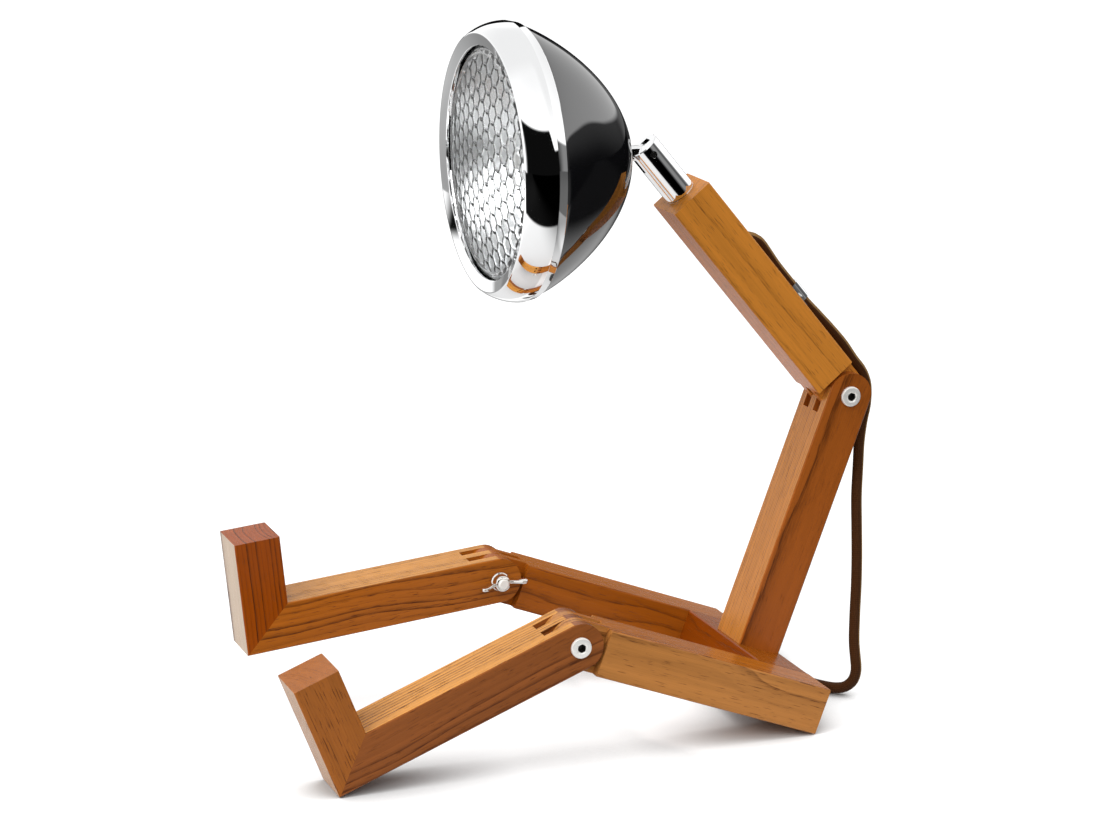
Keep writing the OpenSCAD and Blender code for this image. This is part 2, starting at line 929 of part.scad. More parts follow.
module head_shell() {
    spigot_r = crease_r - 1 - sheet - 0.1;
    outer = [for (i = [0 : bell_steps - 1]) bell_point(i, 0)];
    inner = [for (i = [bell_steps - 1 : -1 : 1]) bell_point(i, sheet)];
    color(lacquer)
        difference() {
            head_revolve(concat(
                [[spigot_r, rim_depth - spigot_in], [spigot_r, rim_depth]], outer,
                [[0, head_depth], [0, head_depth - sheet]], inner,
                [[spigot_r - sheet, rim_depth + 0.6], [spigot_r - sheet, rim_depth - spigot_in]]
            ));
            head_frame()
                translate([-apex_gap - 5, 0, 0])
                    rotate([0, 90, 0])
                        cylinder(d = stud_d + 0.2, h = 10);
        }
}

module lens() {
    sphere_r = (window_r * window_r + lens_dome * lens_dome) / (2 * lens_dome);
    dome = [
        for (i = [0 : 8])
            let (r = window_r * i / 8)
                [r, lens_seat - lens_dome + sphere_r - sqrt(sphere_r * sphere_r - r * r)]
    ];
    hollow = [
        for (i = [8 : -1 : 0])
            let (r = window_r * i / 8)
                [r, lens_back - lens_dome + sphere_r - sqrt(sphere_r * sphere_r - r * r)]
    ];
    color(glass, 0.45)
        head_revolve(concat(dome, [[lens_edge_r, lens_seat], [lens_edge_r, lens_back]], hollow));
}

module lens_gasket() {
    outer_r = lens_edge_r + gasket_wall - 0.1;
    color(black_plastic)
        head_revolve([
            [lens_edge_r + 0.1, lens_seat], [outer_r, lens_seat], [outer_r, gasket_back],
            [window_r + 0.5, gasket_back], [window_r + 0.5, lens_back + 0.1],
            [lens_edge_r + 0.1, lens_back + 0.1]
        ]);
}

// The reflector: a flange behind the gasket, a parabolic bowl and a collar for the holder.
four_f = bowl_r * bowl_r / (bowl_apex - bowl_front);
bowl_setback = 0.4;
bowl_steps = 12;
function bowl_inside(r) = bowl_apex - r * r / four_f;
function bowl_outside(r) = bowl_inside(r - sheet) + bowl_setback;
module reflector() {
    rings = [for (i = [0 : bowl_steps]) bowl_r + (bowl_neck_r - bowl_r) * i / bowl_steps];
    color(silver)
        head_revolve(concat(
            [[bowl_r, gasket_back + 0.1]],
            [for (r = rings) [r, bowl_inside(r)]],
            [[bowl_neck_r, collar_back], [bowl_neck_r + sheet, collar_back]],
            [for (i = [bowl_steps : -1 : 0]) [rings[i] + sheet, bowl_outside(rings[i] + sheet)]],
            [[lens_edge_r, bowl_front + bowl_setback], [lens_edge_r, gasket_back + 0.1]]
        ));
}

// Four bent strips that press the reflector's flange forwards against the rim.
module lens_clips() {
    hook_r = band_point(bowl_front + 2, sheet)[0] - 0.2;
    color(nickel)
        for (turn = [45 : 90 : 315])
            head_frame()
                translate([lip_x, 0, 0])
                    rotate([turn, 0, 0])
                        rotate([90, 0, 0])
                            linear_extrude(6, center = true)
                                polygon([
                                    [bowl_front + 0.5, lens_edge_r - 2.6],
                                    [bowl_front + 0.5, lens_edge_r + 0.5],
                                    [bowl_front + 2, hook_r], [bowl_front + 3, hook_r],
                                    [bowl_front + 1.5, lens_edge_r + 0.5],
                                    [bowl_front + 1.5, lens_edge_r - 2.6]
                                ]);
}

bulb_r = bulb_d / 2;
bulb_centre = holder_back - bulb_reach;
cap_r = cap_d / 2;
cap_front = holder_back - cap_reach;
cap_back = holder_back - cap_seat;

module bulb_glass() {
    color("#f3f1ea")
        head_revolve(concat(
            [[0, bulb_centre - bulb_r]],
            [
                for (a = [15 : 15 : 135])
                    [bulb_r * sin(a), bulb_centre - bulb_r * cos(a)]
            ],
            [[cap_r - 0.5, cap_front], [0, cap_front]]
        ));
}

module bulb_cap() {
    color(nickel)
        head_revolve([
            [0, cap_front], [cap_r, cap_front], [cap_r, cap_back - 3], [3, cap_back], [0, cap_back]
        ]);
}

module lamp_holder() {
    body_r = bowl_neck_r - 0.2;
    color(black_plastic)
        head_revolve([
            [cap_r + 0.1, cap_front + 3], [body_r, cap_front + 3], [body_r, collar_back + 0.1],
            [bowl_neck_r + 4, collar_back + 0.1], [bowl_neck_r + 4, collar_back + 2],
            [body_r, collar_back + 2], [body_r, holder_back], [0, holder_back],
            [0, cap_back + 1], [cap_r + 0.1, cap_back + 1]
        ]);
}

// The ring that clamps the holder to the reflector's collar.
module holder_ring() {
    ring_r = bowl_neck_r + 4.2;
    ring_wall = 0.8;
    reach = bowl_outside(ring_r) + 0.2;
    color(nickel)
        head_revolve([
            [bowl_neck_r, collar_back + 2.1], [ring_r, collar_back + 2.1], [ring_r, reach],
            [ring_r + ring_wall, reach], [ring_r + ring_wall, collar_back + 3],
            [bowl_neck_r, collar_back + 3]
        ]);
}

// The wire from the lamp holder into the hollow stud.
module head_lead() {
    color(black_plastic)
        head_frame()
            translate([lip_x + holder_back, 0, 0])
                rotate([0, 90, 0])
                    cylinder(r = 1.7, h = head_depth - holder_back + 0.9);
}

stud_front = head_depth - 9;
knuckle_r = 4;
knuckle_washer_t = 1.2;
knuckle_nut_h = 4;
washer_seat = head_depth - sheet - 0.5;

// The chrome knuckle: a tongue about the tilt pin, a flange on the shell and a hollow stud.
module head_knuckle() {
    tongue_t = neck_slot_w - 0.2;
    color(chrome)
        head_frame()
            difference() {
                union() {
                    y_rod(knuckle_r, tongue_t);
                    translate([-apex_gap + 1, -tongue_t / 2, -knuckle_r])
                        cube([apex_gap - 1, tongue_t, 2 * knuckle_r]);
                    translate([-apex_gap, 0, 0])
                        rotate([0, 90, 0])
                            cylinder(r1 = 7, r2 = 5.6, h = 1.6);
                    translate([lip_x + stud_front, 0, 0])
                        rotate([0, 90, 0])
                            cylinder(d = stud_d, h = head_depth - stud_front + 0.5);
                }
                y_rod(pin_d / 2 + bore_gap, neck_slot_w + 2);
                translate([lip_x + stud_front - 1, 0, 0])
                    rotate([0, 90, 0])
                        cylinder(r = 2.2, h = head_depth - stud_front + 2.2);
            }
}

module knuckle_washer() {
    color(nickel)
        head_frame()
            translate([lip_x + washer_seat - knuckle_washer_t, 0, 0])
                rotate([0, 90, 0])
                    difference() {
                        cylinder(r = stud_d / 2 + 2.5, h = knuckle_washer_t);
                        translate([0, 0, -1])
                            cylinder(r = stud_d / 2 + 0.1, h = knuckle_washer_t + 2);
                    }
}

module knuckle_nut() {
    color(nickel)
        head_frame()
            translate([lip_x + washer_seat - knuckle_washer_t - knuckle_nut_h, 0, 0])
                rotate([0, 90, 0])
                    difference() {
                        cylinder(r = stud_d / 2 + 2.5, h = knuckle_nut_h, $fn = 6);
                        translate([0, 0, -1])
                            cylinder(r = stud_d / 2, h = knuckle_nut_h + 2);
                    }
}

// ================= cord from the waist to the plug =================

function off_rear_edge(p) = p + [stand_x, 0, 0];

// ---- the in-line switch and the cord's two ends in it ----
switch_split = 7;
switch_wall = 1.6;
switch_neck = 8;
cord_in_switch = 6;
rocker_pivot_h = switch_h - 3;
trunnion_r = 1;
switch_axis = [cos(switch_turn), sin(switch_turn), 0];
function in_switch(x) =
    off_rear_edge(switch_at) + (x - switch_len / 2) * switch_axis + [0, 0, switch_split];

module cord_drop() {
    pts = concat(
        [seam_at], [for (p = drop_route) off_rear_edge(p)], [in_switch(0), in_switch(cord_in_switch)]
    );
    color(cord_brown)
        cord_along(pts, seam_dir, switch_axis, [0, 1, 0]);
}

// The switch's frame: origin under its cord's entry, +X along the cord.
module switch_frame() {
    translate(off_rear_edge(switch_at))
        rotate([0, 0, switch_turn])
            translate([-switch_len / 2, 0, 0])
                children();
}

// A slice of the housing's outside between two heights, its ends drawn in.
module switch_slab(low, high, inset) {
    side = switch_w / 2 - inset;
    nose = cord_r + 2 - inset / 2;
    back = switch_len - inset;
    shoulder_back = switch_len - switch_neck;
    translate([0, 0, low])
        linear_extrude(high - low)
            polygon([
                [inset, -nose], [switch_neck, -side], [shoulder_back, -side], [back, -nose],
                [back, nose], [shoulder_back, side], [switch_neck, side], [inset, nose]
            ]);
}

// The room inside the housing between two heights.
module switch_room(low, high) {
    intersection() {
        switch_slab(low, high, switch_wall);
        translate([switch_neck, -switch_w / 2, low])
            cube([switch_len - 2 * switch_neck, switch_w, high - low]);
    }
}

module switch_cord_ways() {
    for (x = [-1, switch_len - switch_neck])
        translate([x, 0, switch_split])
            rotate([0, 90, 0])
                cylinder(r = cord_r + cord_clear, h = switch_neck + 1);
}

module switch_base() {
    color(black_plastic)
        switch_frame()
            difference() {
                switch_slab(0, switch_split, 0);
                switch_room(switch_wall, switch_split + 1);
                switch_cord_ways();
                switch_screw_places()
                    cylinder(r = switch_screw_r, h = 2 * switch_h, center = true);
            }
}

module switch_cover() {
    opening_l = rocker_len + 1.6;
    opening_w = rocker_w + 0.6;
    color(black_plastic)
        switch_frame()
            difference() {
                union() {
                    switch_slab(switch_split, switch_h - 1.2, 0);
                    switch_slab(switch_h - 1.2 - eps, switch_h, 1);
                }
                switch_room(switch_split - 1, switch_split + 1.5);
                translate([switch_len / 2 - opening_l / 2, -opening_w / 2, switch_split])
                    cube([opening_l, opening_w, switch_h]);
                translate([switch_len / 2, 0, rocker_pivot_h])
                    y_rod(trunnion_r + bore_gap, rocker_w + 2 * trunnion_len + 0.4);
                switch_cord_ways();
                switch_screw_places()
                    translate([0, 0, switch_split - 1])
                        cylinder(r = switch_screw_r, h = switch_screw_bite + 1);
            }
}

// Two screws from below, on opposite corners.
switch_screw_r = 1.2;
switch_screw_bite = 6;
module switch_screw_places() {
    at_x = switch_neck - 2;
    at_y = cord_r + 3.4;
    for (end = [0, 1])
        translate([
            end == 0 ? at_x : switch_len - at_x,
            end == 0 ? at_y : -at_y,
            0
        ])
            children();
}

module switch_screws() {
    color(nickel)
        switch_frame()
            switch_screw_places()
                translate([0, 0, 1])
                    cylinder(r = switch_screw_r - 0.02, h = switch_split + switch_screw_bite - 1.5);
}

// The rocker, tipped to one side about its trunnions.
trunnion_len = 1.4;
module switch_rocker() {
    half = rocker_len / 2;
    color("#2c2c2c")
        switch_frame()
            translate([switch_len / 2, 0, rocker_pivot_h])
                rotate([0, rocker_tilt, 0]) {
                    rotate([90, 0, 0])
                        linear_extrude(rocker_w, center = true)
                            polygon([
                                [-half + 0.6, -2.4], [half - 0.6, -2.4], [half, 4], [half / 2, 3.1],
                                [0, 2.8], [-half / 2, 3.1], [-half, 4]
                            ]);
                    y_rod(trunnion_r, rocker_w + 2 * trunnion_len);
                }
}

// The two contact blocks on the base's floor.
module switch_contacts() {
    block = [6, 7, switch_split - switch_wall - 0.4];
    color("#b58a3c")
        switch_frame()
            for (x = [switch_len / 2 - 13, switch_len / 2 + 7])
                translate([x, -block.y / 2, switch_wall])
                    cube(block);
}

// ---- the coil, and the plug at its end ----
coil_centre = off_rear_edge([coil_at.x, coil_at.y, 0]);
coil_in_at = coil_centre + coil_points[0];
coil_out_at = coil_centre + coil_points[len(coil_points) - 1];
plug_sink = coil_out_at.z - plug_t / 2;

module cord_link() {
    pts = concat(
        [in_switch(switch_len - cord_in_switch), in_switch(switch_len)],
        [for (p = link_route) off_rear_edge(p)],
        [coil_in_at]
    );
    color(cord_brown)
        cord_along(pts, switch_axis, coil_in_dir, [0, 0, 1]);
}

module cord_coil() {
    color(cord_brown)
        translate(coil_centre)
            tube(coil_points, coil_dirs, coil_sides_at, cord_r, coil_sides);
}

// From the coil's top layer down to the plug, which lies flat.
module plug_lead() {
    pts = [
        for (step = [[0, 0], [0.3, 0], [0.55, 0.3], [0.8, 0.85], [1, 1]])
            coil_out_at + step[0] * plug_lead_len * coil_out_dir - [0, 0, step[1] * plug_sink]
    ];
    color(cord_brown)
        cord_along(pts, coil_out_dir, coil_out_dir, [0, 0, 1]);
}

// The plug's frame: origin where its cord meets it, +X towards its pins.
module plug_frame() {
    translate(coil_out_at + plug_lead_len * coil_out_dir - [0, 0, plug_sink])
        rotate([0, 0, atan2(coil_out_dir.y, coil_out_dir.x)])
            children();
}

plug_pin_root = 8;
plug_pin_r = plug_pin_d / 2;
plug_root_r = plug_pin_r - 0.4;
module plug_pin_places() {
    for (y = [-plug_pin_pitch / 2, plug_pin_pitch / 2])
        translate([plug_len - plug_pin_root, y, 0])
            rotate([0, 90, 0])
                children();
}

// A flat plug body, drawn in behind its head, with a tapering neck round the cord.
plug_neck = 20;
module plug_body() {
    waist = cord_r + 2.6;
    side = plug_w / 2;
    color(black_plastic)
        plug_frame()
            difference() {
                union() {
                    rotate([0, 90, 0])
                        cylinder(r1 = cord_r + 0.9, r2 = waist, h = plug_neck + 1);
                    translate([plug_neck, 0, -plug_t / 2])
                        linear_extrude(plug_t)
                            polygon([
                                [0, -waist], [4, -side + 1], [6, -side], [plug_len - plug_neck, -side],
                                [plug_len - plug_neck, side], [6, side], [4, side - 1], [0, waist]
                            ]);
                }
                plug_pin_places()
                    cylinder(r = plug_root_r + 0.01, h = plug_pin_root + 1);
            }
}

module plug_pins() {
    straight = plug_pin_root + plug_pin_len - 1;
    color(nickel)
        plug_frame()
            plug_pin_places()
                rotate_extrude()
                    polygon([
                        [0, 0], [plug_root_r, 0], [plug_root_r, plug_pin_root],
                        [plug_pin_r, plug_pin_root], [plug_pin_r, straight],
                        [plug_pin_r - 1, straight + 1], [0, straight + 1]
                    ]);
}

// ================= assembly =================

left_thigh();
right_thigh();
pelvis_block();
pelvis_dowels();
spine();
spine_screws();
waist_bolt();
waist_wing_nut();
left_shin();
left_foot();
left_foot_dowels();
left_knee_bolt();
left_knee_wing_nut();
right_shin();
right_foot();
right_foot_dowels();
right_knee_bolt();
right_knee_wing_nut();
upper_torso();
neck_nipple();
neck_washer();
torso_lead();
cord_grip();
cord_clip();
clip_screws();
cord_back();
neck_post();
tilt_pin();
head_shell();
rim_ring();
lens();
lens_gasket();
reflector();
lens_clips();
bulb_glass();
bulb_cap();
lamp_holder();
holder_ring();
head_lead();
head_knuckle();
knuckle_washer();
knuckle_nut();
cord_drop();
switch_base();
switch_cover();
switch_rocker();
switch_screws();
switch_contacts();
cord_link();
cord_coil();
plug_lead();
plug_body();
plug_pins();
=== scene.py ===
import logging
import math
from dataclasses import dataclass
from enum import Enum
from typing import Iterable, Sequence

import bmesh
import bpy
from mathutils import Euler, Matrix, Vector


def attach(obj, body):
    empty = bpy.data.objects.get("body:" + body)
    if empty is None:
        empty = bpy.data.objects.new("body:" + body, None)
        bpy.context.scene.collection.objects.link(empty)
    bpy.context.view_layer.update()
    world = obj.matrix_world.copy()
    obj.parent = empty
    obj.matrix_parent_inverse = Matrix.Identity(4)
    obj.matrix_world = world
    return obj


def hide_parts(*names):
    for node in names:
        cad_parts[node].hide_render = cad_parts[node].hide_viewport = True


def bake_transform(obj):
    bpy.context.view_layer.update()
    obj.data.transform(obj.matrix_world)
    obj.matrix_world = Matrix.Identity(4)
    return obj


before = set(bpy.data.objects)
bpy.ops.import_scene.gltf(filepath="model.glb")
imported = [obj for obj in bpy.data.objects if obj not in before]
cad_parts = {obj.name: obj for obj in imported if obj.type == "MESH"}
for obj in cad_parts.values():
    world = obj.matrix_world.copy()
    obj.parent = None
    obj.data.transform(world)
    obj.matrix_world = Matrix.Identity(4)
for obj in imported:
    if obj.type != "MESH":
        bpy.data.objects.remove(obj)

MM = 0.001
LOG = logging.getLogger("seated_lamp")

Point = tuple[float, float, float]
Outline = list[tuple[float, float]]
BMesh = bmesh.types.BMesh
Material = bpy.types.Material
Node = bpy.types.Node
Object = bpy.types.Object
Outputs = bpy.types.NodeOutputs
Socket = bpy.types.NodeSocket


def turning(degrees: float, axis: str) -> Matrix:
    """A turn about an axis."""
    return Matrix.Rotation(math.radians(degrees), 4, axis)


def shown(name: str, data: bpy.types.ID) -> Object:
    """Puts a mesh, lamp or camera in the scene.

    Args:
        name: The object's name.
        data: The mesh, lamp or camera.

    Returns:
        The object, at the origin.
    """
    thing = bpy.data.objects.new(name, data)
    bpy.context.scene.collection.objects.link(thing)
    return thing


# ================= the figure's frames =================


@dataclass(frozen=True)
class Placement:
    """A frame of the figure: an origin in millimetres and a pitch about Y in degrees."""

    origin: Point
    pitch: float

    def matrix(self) -> Matrix:
        """The frame's matrix, from millimetres in it to metres in the row frame."""
        return Matrix.Translation(Vector(self.origin) * MM) @ turning(self.pitch, "Y") @ Matrix.Scale(MM, 4)

    def moved(self, step: Point, turn: float = 0.0) -> "Placement":
        """A frame a step away in this one, turned on by some degrees.

        Args:
            step: Millimetres along this frame's axes.
            turn: Degrees about Y, added to the pitch.

        Returns:
            The new frame.
        """
        at = self.matrix() @ Vector(step) / MM
        return Placement((at.x, at.y, at.z), self.pitch + turn)


@dataclass(frozen=True)
class Figure:
    """The seated figure's pose and main lengths, in millimetres and degrees."""

    stick_w: float = 30.0
    stick_d: float = 25.0
    pelvis_w: float = 154.0
    thigh_len: float = 146.0
    shin_len: float = 143.5
    left_knee_bend: float = 42.1
    right_knee_bend: float = 26.3
    spine_len: float = 146.0
    spine_inset: float = 15.0
    torso_len: float = 147.0
    waist_bend: float = 60.0
    neck_len: float = 35.0
    pin_drop: float = 5.2
    stand_x: float = 112.1586

    @property
    def pitch(self) -> float:
        """The pelvis's tilt when the left heel and its own rear edge stand on the floor.

        Returns:
            The tilt, in degrees.
        """
        bend, half = math.radians(self.left_knee_bend), self.stick_d / 2
        along = self.thigh_len + self.shin_len * math.cos(bend) - half * math.sin(bend)
        down = self.shin_len * math.sin(bend) + half * math.cos(bend) - half
        return math.degrees(math.atan2(down, along))

    def pelvis(self) -> Placement:
        """The pelvis, from its rear bottom edge."""
        return Placement((self.stand_x, 0.0, 0.0), self.pitch)

    def knee(self, side: int) -> Placement:
        """A knee's pivot.

        Args:
            side: -1 on the left and 1 on the right.

        Returns:
            The pivot's frame, with -X along the shin.
        """
        bend = self.left_knee_bend if side < 0 else self.right_knee_bend
        leg_y = (self.pelvis_w - self.stick_w) / 2
        return self.pelvis().moved((-self.thigh_len, side * leg_y, self.stick_d / 2), -bend)

    def waist(self) -> Placement:
        """The waist's pivot, with +Z along the spine."""
        return self.pelvis().moved((-self.spine_inset, 0.0, self.stick_d + self.spine_len))

    def torso(self) -> Placement:
        """The waist's pivot, with +Z along the upper torso."""
        return self.waist().moved((0.0, 0.0, 0.0), -self.waist_bend)

    def head(self) -> Placement:
        """The tilt pin, with -X the way that the headlamp looks."""
        reach = self.torso_len + self.neck_len - self.pin_drop
        return self.torso().moved((0.0, 0.0, reach), self.waist_bend - self.pitch)


FIGURE = Figure()


# ================= camera =================


@dataclass(frozen=True)
class Viewpoint:
    """The camera's place and aim, from the photograph."""

    position: Point = (-0.58704, -1.5661, 0.5877)
    azimuth: float = -20.308
    elevation: float = 14.101
    roll: float = -0.273
    lens: float = 107.57

    def place(self) -> None:
        """Makes the camera and gives it to the scene."""
        data = bpy.data.cameras.new("camera")
        data.lens, data.sensor_width = self.lens, 36.0
        camera = shown("camera", data)
        aim = turning(self.azimuth, "Z") @ turning(90.0 - self.elevation, "X") @ turning(self.roll, "Z")
        camera.matrix_world = Matrix.Translation(self.position) @ aim
        bpy.context.scene.camera = camera


# ================= node graphs =================


class Graph:
    """The nodes of one material, world or group, with short calls to add and join them."""

    def __init__(self, tree: bpy.types.NodeTree) -> None:
        """Starts on a node tree."""
        self.tree = tree

    def add(self, kind: str, **inputs: object) -> Node:
        """Adds a node and fills its inputs.

        Args:
            kind: The node's type, without the ShaderNode in front.
            **inputs: Sockets or constants, by input name with _ for a space.

        Returns:
            The new node.
        """
        node = self.tree.nodes.new("ShaderNode" + kind)
        self.feed(node, **inputs)
        return node

    def feed(self, node: Node, **inputs: object) -> None:
        """Fills a node's inputs.

        Args:
            node: The node.
            **inputs: Sockets or constants, by input name with _ for a space.
        """
        for name, value in inputs.items():
            self.put(value, node.inputs[name.replace("_", " ")])

    def put(self, value: object, socket: Socket) -> None:
        """Joins a socket to an input, or sets its constant.

        Args:
            value: A socket or a constant.
            socket: The input.
        """
        if isinstance(value, Socket):
            self.tree.links.new(value, socket)
        else:
            socket.default_value = value

    def math(self, operation: str, a: object, b: object = 0.0, c: object = 0.0, clamp: bool = False) -> Socket:
        """One arithmetic step.

        Args:
            operation: The Math node's operation.
            a: The first socket or number.
            b: The second.
            c: The third.
            clamp: Whether the result is kept from 0 to 1.

        Returns:
            The result.
        """
        node = self.tree.nodes.new("ShaderNodeMath")
        node.operation, node.use_clamp = operation, clamp
        for value, socket in zip((a, b, c), node.inputs):
            self.put(value, socket)
        return node.outputs[0]

    def times(self, a: object, b: object) -> Socket:
        """The product of two sockets or numbers."""
        return self.math("MULTIPLY", a, b)

    def plus(self, a: object, b: object) -> Socket:
        """The sum of two sockets or numbers."""
        return self.math("ADD", a, b)

    def minus(self, a: object, b: object) -> Socket:
        """The difference of two sockets or numbers."""
        return self.math("SUBTRACT", a, b)

    def grey(self, value: object) -> Socket:
        """A grey colour of a value."""
        return self.add("CombineColor", Red=value, Green=value, Blue=value).outputs[0]

    def span(self, value: object, low: float, high: float, first: float = 0.0, last: float = 1.0) -> Socket:
        """A smooth step.

        Args:
            value: The socket that drives it.
            low: The value at which the step starts.
            high: The value at which it ends; it may be the lower of the two.
            first: The result at low.
            last: The result at high.

        Returns:
            The result.
        """
        node = self.tree.nodes.new("ShaderNodeMapRange")
        node.interpolation_type = "SMOOTHSTEP"
        for number, name in ((low, "From Min"), (high, "From Max"), (first, "To Min"), (last, "To Max")):
            node.inputs[name].default_value = number
        self.put(value, node.inputs["Value"])
        return node.outputs["Result"]

    def mix(self, factor: object, a: object, b: object, blend: str = "MIX") -> Socket:
        """Mixes two colours.

        Args:
            factor: How much of the second there is.
            a: The first colour.
            b: The second colour.
            blend: The Mix node's way of mixing.

        Returns:
            The mixed colour.
        """
        node = self.tree.nodes.new("ShaderNodeMix")
        node.data_type, node.blend_type = "RGBA", blend
        for value, index in ((factor, 0), (a, 6), (b, 7)):
            self.put(value, node.inputs[index])
        return node.outputs[2]

    def noise(self, vector: object, scale: float = 1.0, detail: float = 2.0, roughness: float = 0.5) -> Socket:
        """A noise value from 0 to 1 at a vector."""
        return self.add("TexNoise", Vector=vector, Scale=scale, Detail=detail, Roughness=roughness).outputs["Fac"]

    def stretched(self, vector: object, scale: Point, offset: object = 0.0) -> Socket:
        """Scales a vector along each axis, and moves it by one number along all.

        Args:
            vector: The vector.
            scale: The scale along each axis.
            offset: The number, or its socket.

        Returns:
            The new vector.
        """
        sized = self.tree.nodes.new("ShaderNodeVectorMath")
        sized.operation = "MULTIPLY_ADD"
        moved = offset if isinstance(offset, Socket) else (offset,) * 3
        for value, socket in zip((vector, scale, moved), sized.inputs):
            self.put(value, socket)
        return sized.outputs[0]

    def shaded(self, colour: object, shade: object) -> Socket:
        """A colour made lighter or darker by a value about 1."""
        return self.mix(1.0, colour, self.grey(shade), "MULTIPLY")


# ================= shared effects =================


class Effect:
    """A shared effect, as one node group that gives a colour, a roughness and a height."""

    NAME = ""
    TAKES: tuple[tuple[str, str, object], ...] = ()

    def tree(self) -> bpy.types.NodeTree:
        """Gives the group, built on its first use.

        Returns:
            The group's node tree.
        """
        found = bpy.data.node_groups.get(self.NAME)
        if found:
            return found
        tree = bpy.data.node_groups.new(self.NAME, "ShaderNodeTree")
        for label, kind, default in self.TAKES:
            socket = tree.interface.new_socket(label, in_out="INPUT", socket_type="NodeSocket" + kind)
            if default is not None:
                socket.default_value = default
        for label, kind in (("Color", "Color"), ("Roughness", "Float"), ("Height", "Float")):
            tree.interface.new_socket(label, in_out="OUTPUT", socket_type="NodeSocket" + kind)
        graph = Graph(tree)
        given = tree.nodes.new("NodeGroupInput").outputs
        gives = self.fill(graph, given)
        for value, socket in zip(gives, tree.nodes.new("NodeGroupOutput").inputs):
            graph.put(value, socket)
        return tree

    def fill(self, graph: Graph, given: Outputs) -> Sequence[Socket]:
        """Makes the group's nodes; each effect has its own.

        Args:
            graph: The group's graph.
            given: The sockets of what the group takes.

        Returns:
            The sockets of its colour, roughness and height.
        """
        raise NotImplementedError

    def placed(self, graph: Graph, vector: Socket, values: Sequence[object]) -> Outputs:
        """Adds the group to a material.

        Args:
            graph: The material's graph.
            vector: The place on the piece.
            values: Constants for what the group takes after its vector.

        Returns:
            The group's output sockets.
        """
        node = graph.tree.nodes.new("ShaderNodeGroup")
        node.node_tree = self.tree()
        graph.put(vector, node.inputs["Vector"])
        for (name, _, _), value in zip(self.TAKES[1:], values, strict=True):
            node.inputs[name].default_value = value
        return node.outputs


class WoodFigure(Effect):
    """The growth rings, streaks, fibres and pores of a stick.

    It takes a vector in metres whose X runs along the grain.
    """

    NAME = "wood_figure"
    TAKES = (
        ("Vector", "Vector", None),
        ("Early", "Color", (0.5, 0.25, 0.08, 1)),
        ("Late", "Color", (0.2, 0.07, 0.02, 1)),
        ("Ring Width", "Float", 2.6),
        ("Heart Y", "Float", 60.0),
        ("Heart Z", "Float", 10.0),
        ("Wander", "Float", 3.0),
        ("Line Strength", "Float", 0.7),
        ("Streaks", "Float", 0.3),
        ("Pores", "Float", 0.5),
        # Face is painted light and sheen: the tone of the face above Face Z, as light falls on it
        ("Face", "Color", (0.5, 0.25, 0.08, 1)),
        ("Face Z", "Float", 12.5),
        ("Seed", "Float", 0.0),
    )

    def fill(self, graph: Graph, given: Outputs) -> Sequence[Socket]:
        """Makes the rings, then the pores and streaks over them.

        Args:
            graph: The group's graph.
            given: The sockets of the tones and sizes.

        Returns:
            The sockets of the colour, roughness and height.
        """
        at = graph.stretched(given["Vector"], (1000.0, 1000.0, 1000.0))
        seed = graph.times(given["Seed"], 137.0)
        # the rings, bent a little by a slow and a quick wander
        parts = graph.add("SeparateXYZ", Vector=at).outputs
        slow = graph.noise(graph.stretched(at, (0.008, 0.03, 0.03), seed), detail=1.0)
        quick = graph.noise(graph.stretched(at, (0.03, 0.2, 0.2), seed), detail=2.0)
        slow = graph.times(graph.minus(slow, 0.5), given["Wander"])
        quick = graph.times(graph.minus(quick, 0.5), 0.9)
        across = graph.minus(parts["Y"], given["Heart Y"])
        up = graph.minus(parts["Z"], given["Heart Z"])
        squares = graph.plus(graph.times(across, across), graph.times(up, up))
        bend = graph.math("MULTIPLY_ADD", slow, 4.0, quick)
        rings = graph.math("DIVIDE", graph.plus(graph.math("SQRT", squares), bend), given["Ring Width"])
        inside = graph.math("FRACT", rings)
        # each ring's late wood, of its own strength
        luck = graph.add("TexWhiteNoise")
        luck.noise_dimensions = "1D"
        graph.put(graph.plus(graph.math("FLOOR", rings), seed), luck.inputs["W"])
        rise = graph.math("POWER", inside, 3.5)
        late = graph.times(rise, graph.span(inside, 0.93, 1.0, 1.0, 0.1))
        late = graph.times(late, graph.math("MULTIPLY_ADD", luck.outputs["Value"], 0.95, 0.12))
        # short pores, more of them in the late wood, and the breaks in its lines
        pores = graph.noise(graph.stretched(at, (0.09, 2.0, 2.0), seed), detail=1.5, roughness=0.6)
        coarse = graph.span(graph.math("MULTIPLY_ADD", late, 0.16, pores), 0.62, 0.69)
        broken = graph.noise(graph.stretched(at, (0.09, 1.6, 1.6), seed), detail=2.0)
        late = graph.times(late, graph.span(broken, 0.3, 0.6, 0.35, 1.0))
        late = graph.math("MULTIPLY", late, given["Line Strength"], clamp=True)
        # fibres and streaks, and the face above Face Z in its own tone, painted light and sheen for how light falls on
        # that face
        fibre = graph.noise(graph.stretched(at, (0.03, 3.0, 3.0), seed), detail=3.0, roughness=0.65)
        streak = graph.noise(graph.stretched(at, (0.007, 0.22, 0.22), seed), detail=2.0)
        pores = graph.times(coarse, given["Pores"])
        face = graph.span(graph.minus(parts["Z"], given["Face Z"]), -0.12, -0.03)
        base = graph.mix(face, given["Early"], given["Face"])
        colour = graph.mix(late, base, given["Late"])
        colour = graph.mix(pores, colour, given["Late"])
        tone = graph.times(graph.minus(streak, 0.5), given["Streaks"])
        tone = graph.math("MULTIPLY_ADD", graph.minus(fibre, 0.5), 0.5, tone)
        colour = graph.shaded(colour, graph.plus(tone, 1.0))
        rough = graph.math("MULTIPLY_ADD", pores, 0.4, graph.times(fibre, 0.1))
        return colour, rough, graph.minus(graph.times(fibre, 0.35), coarse)


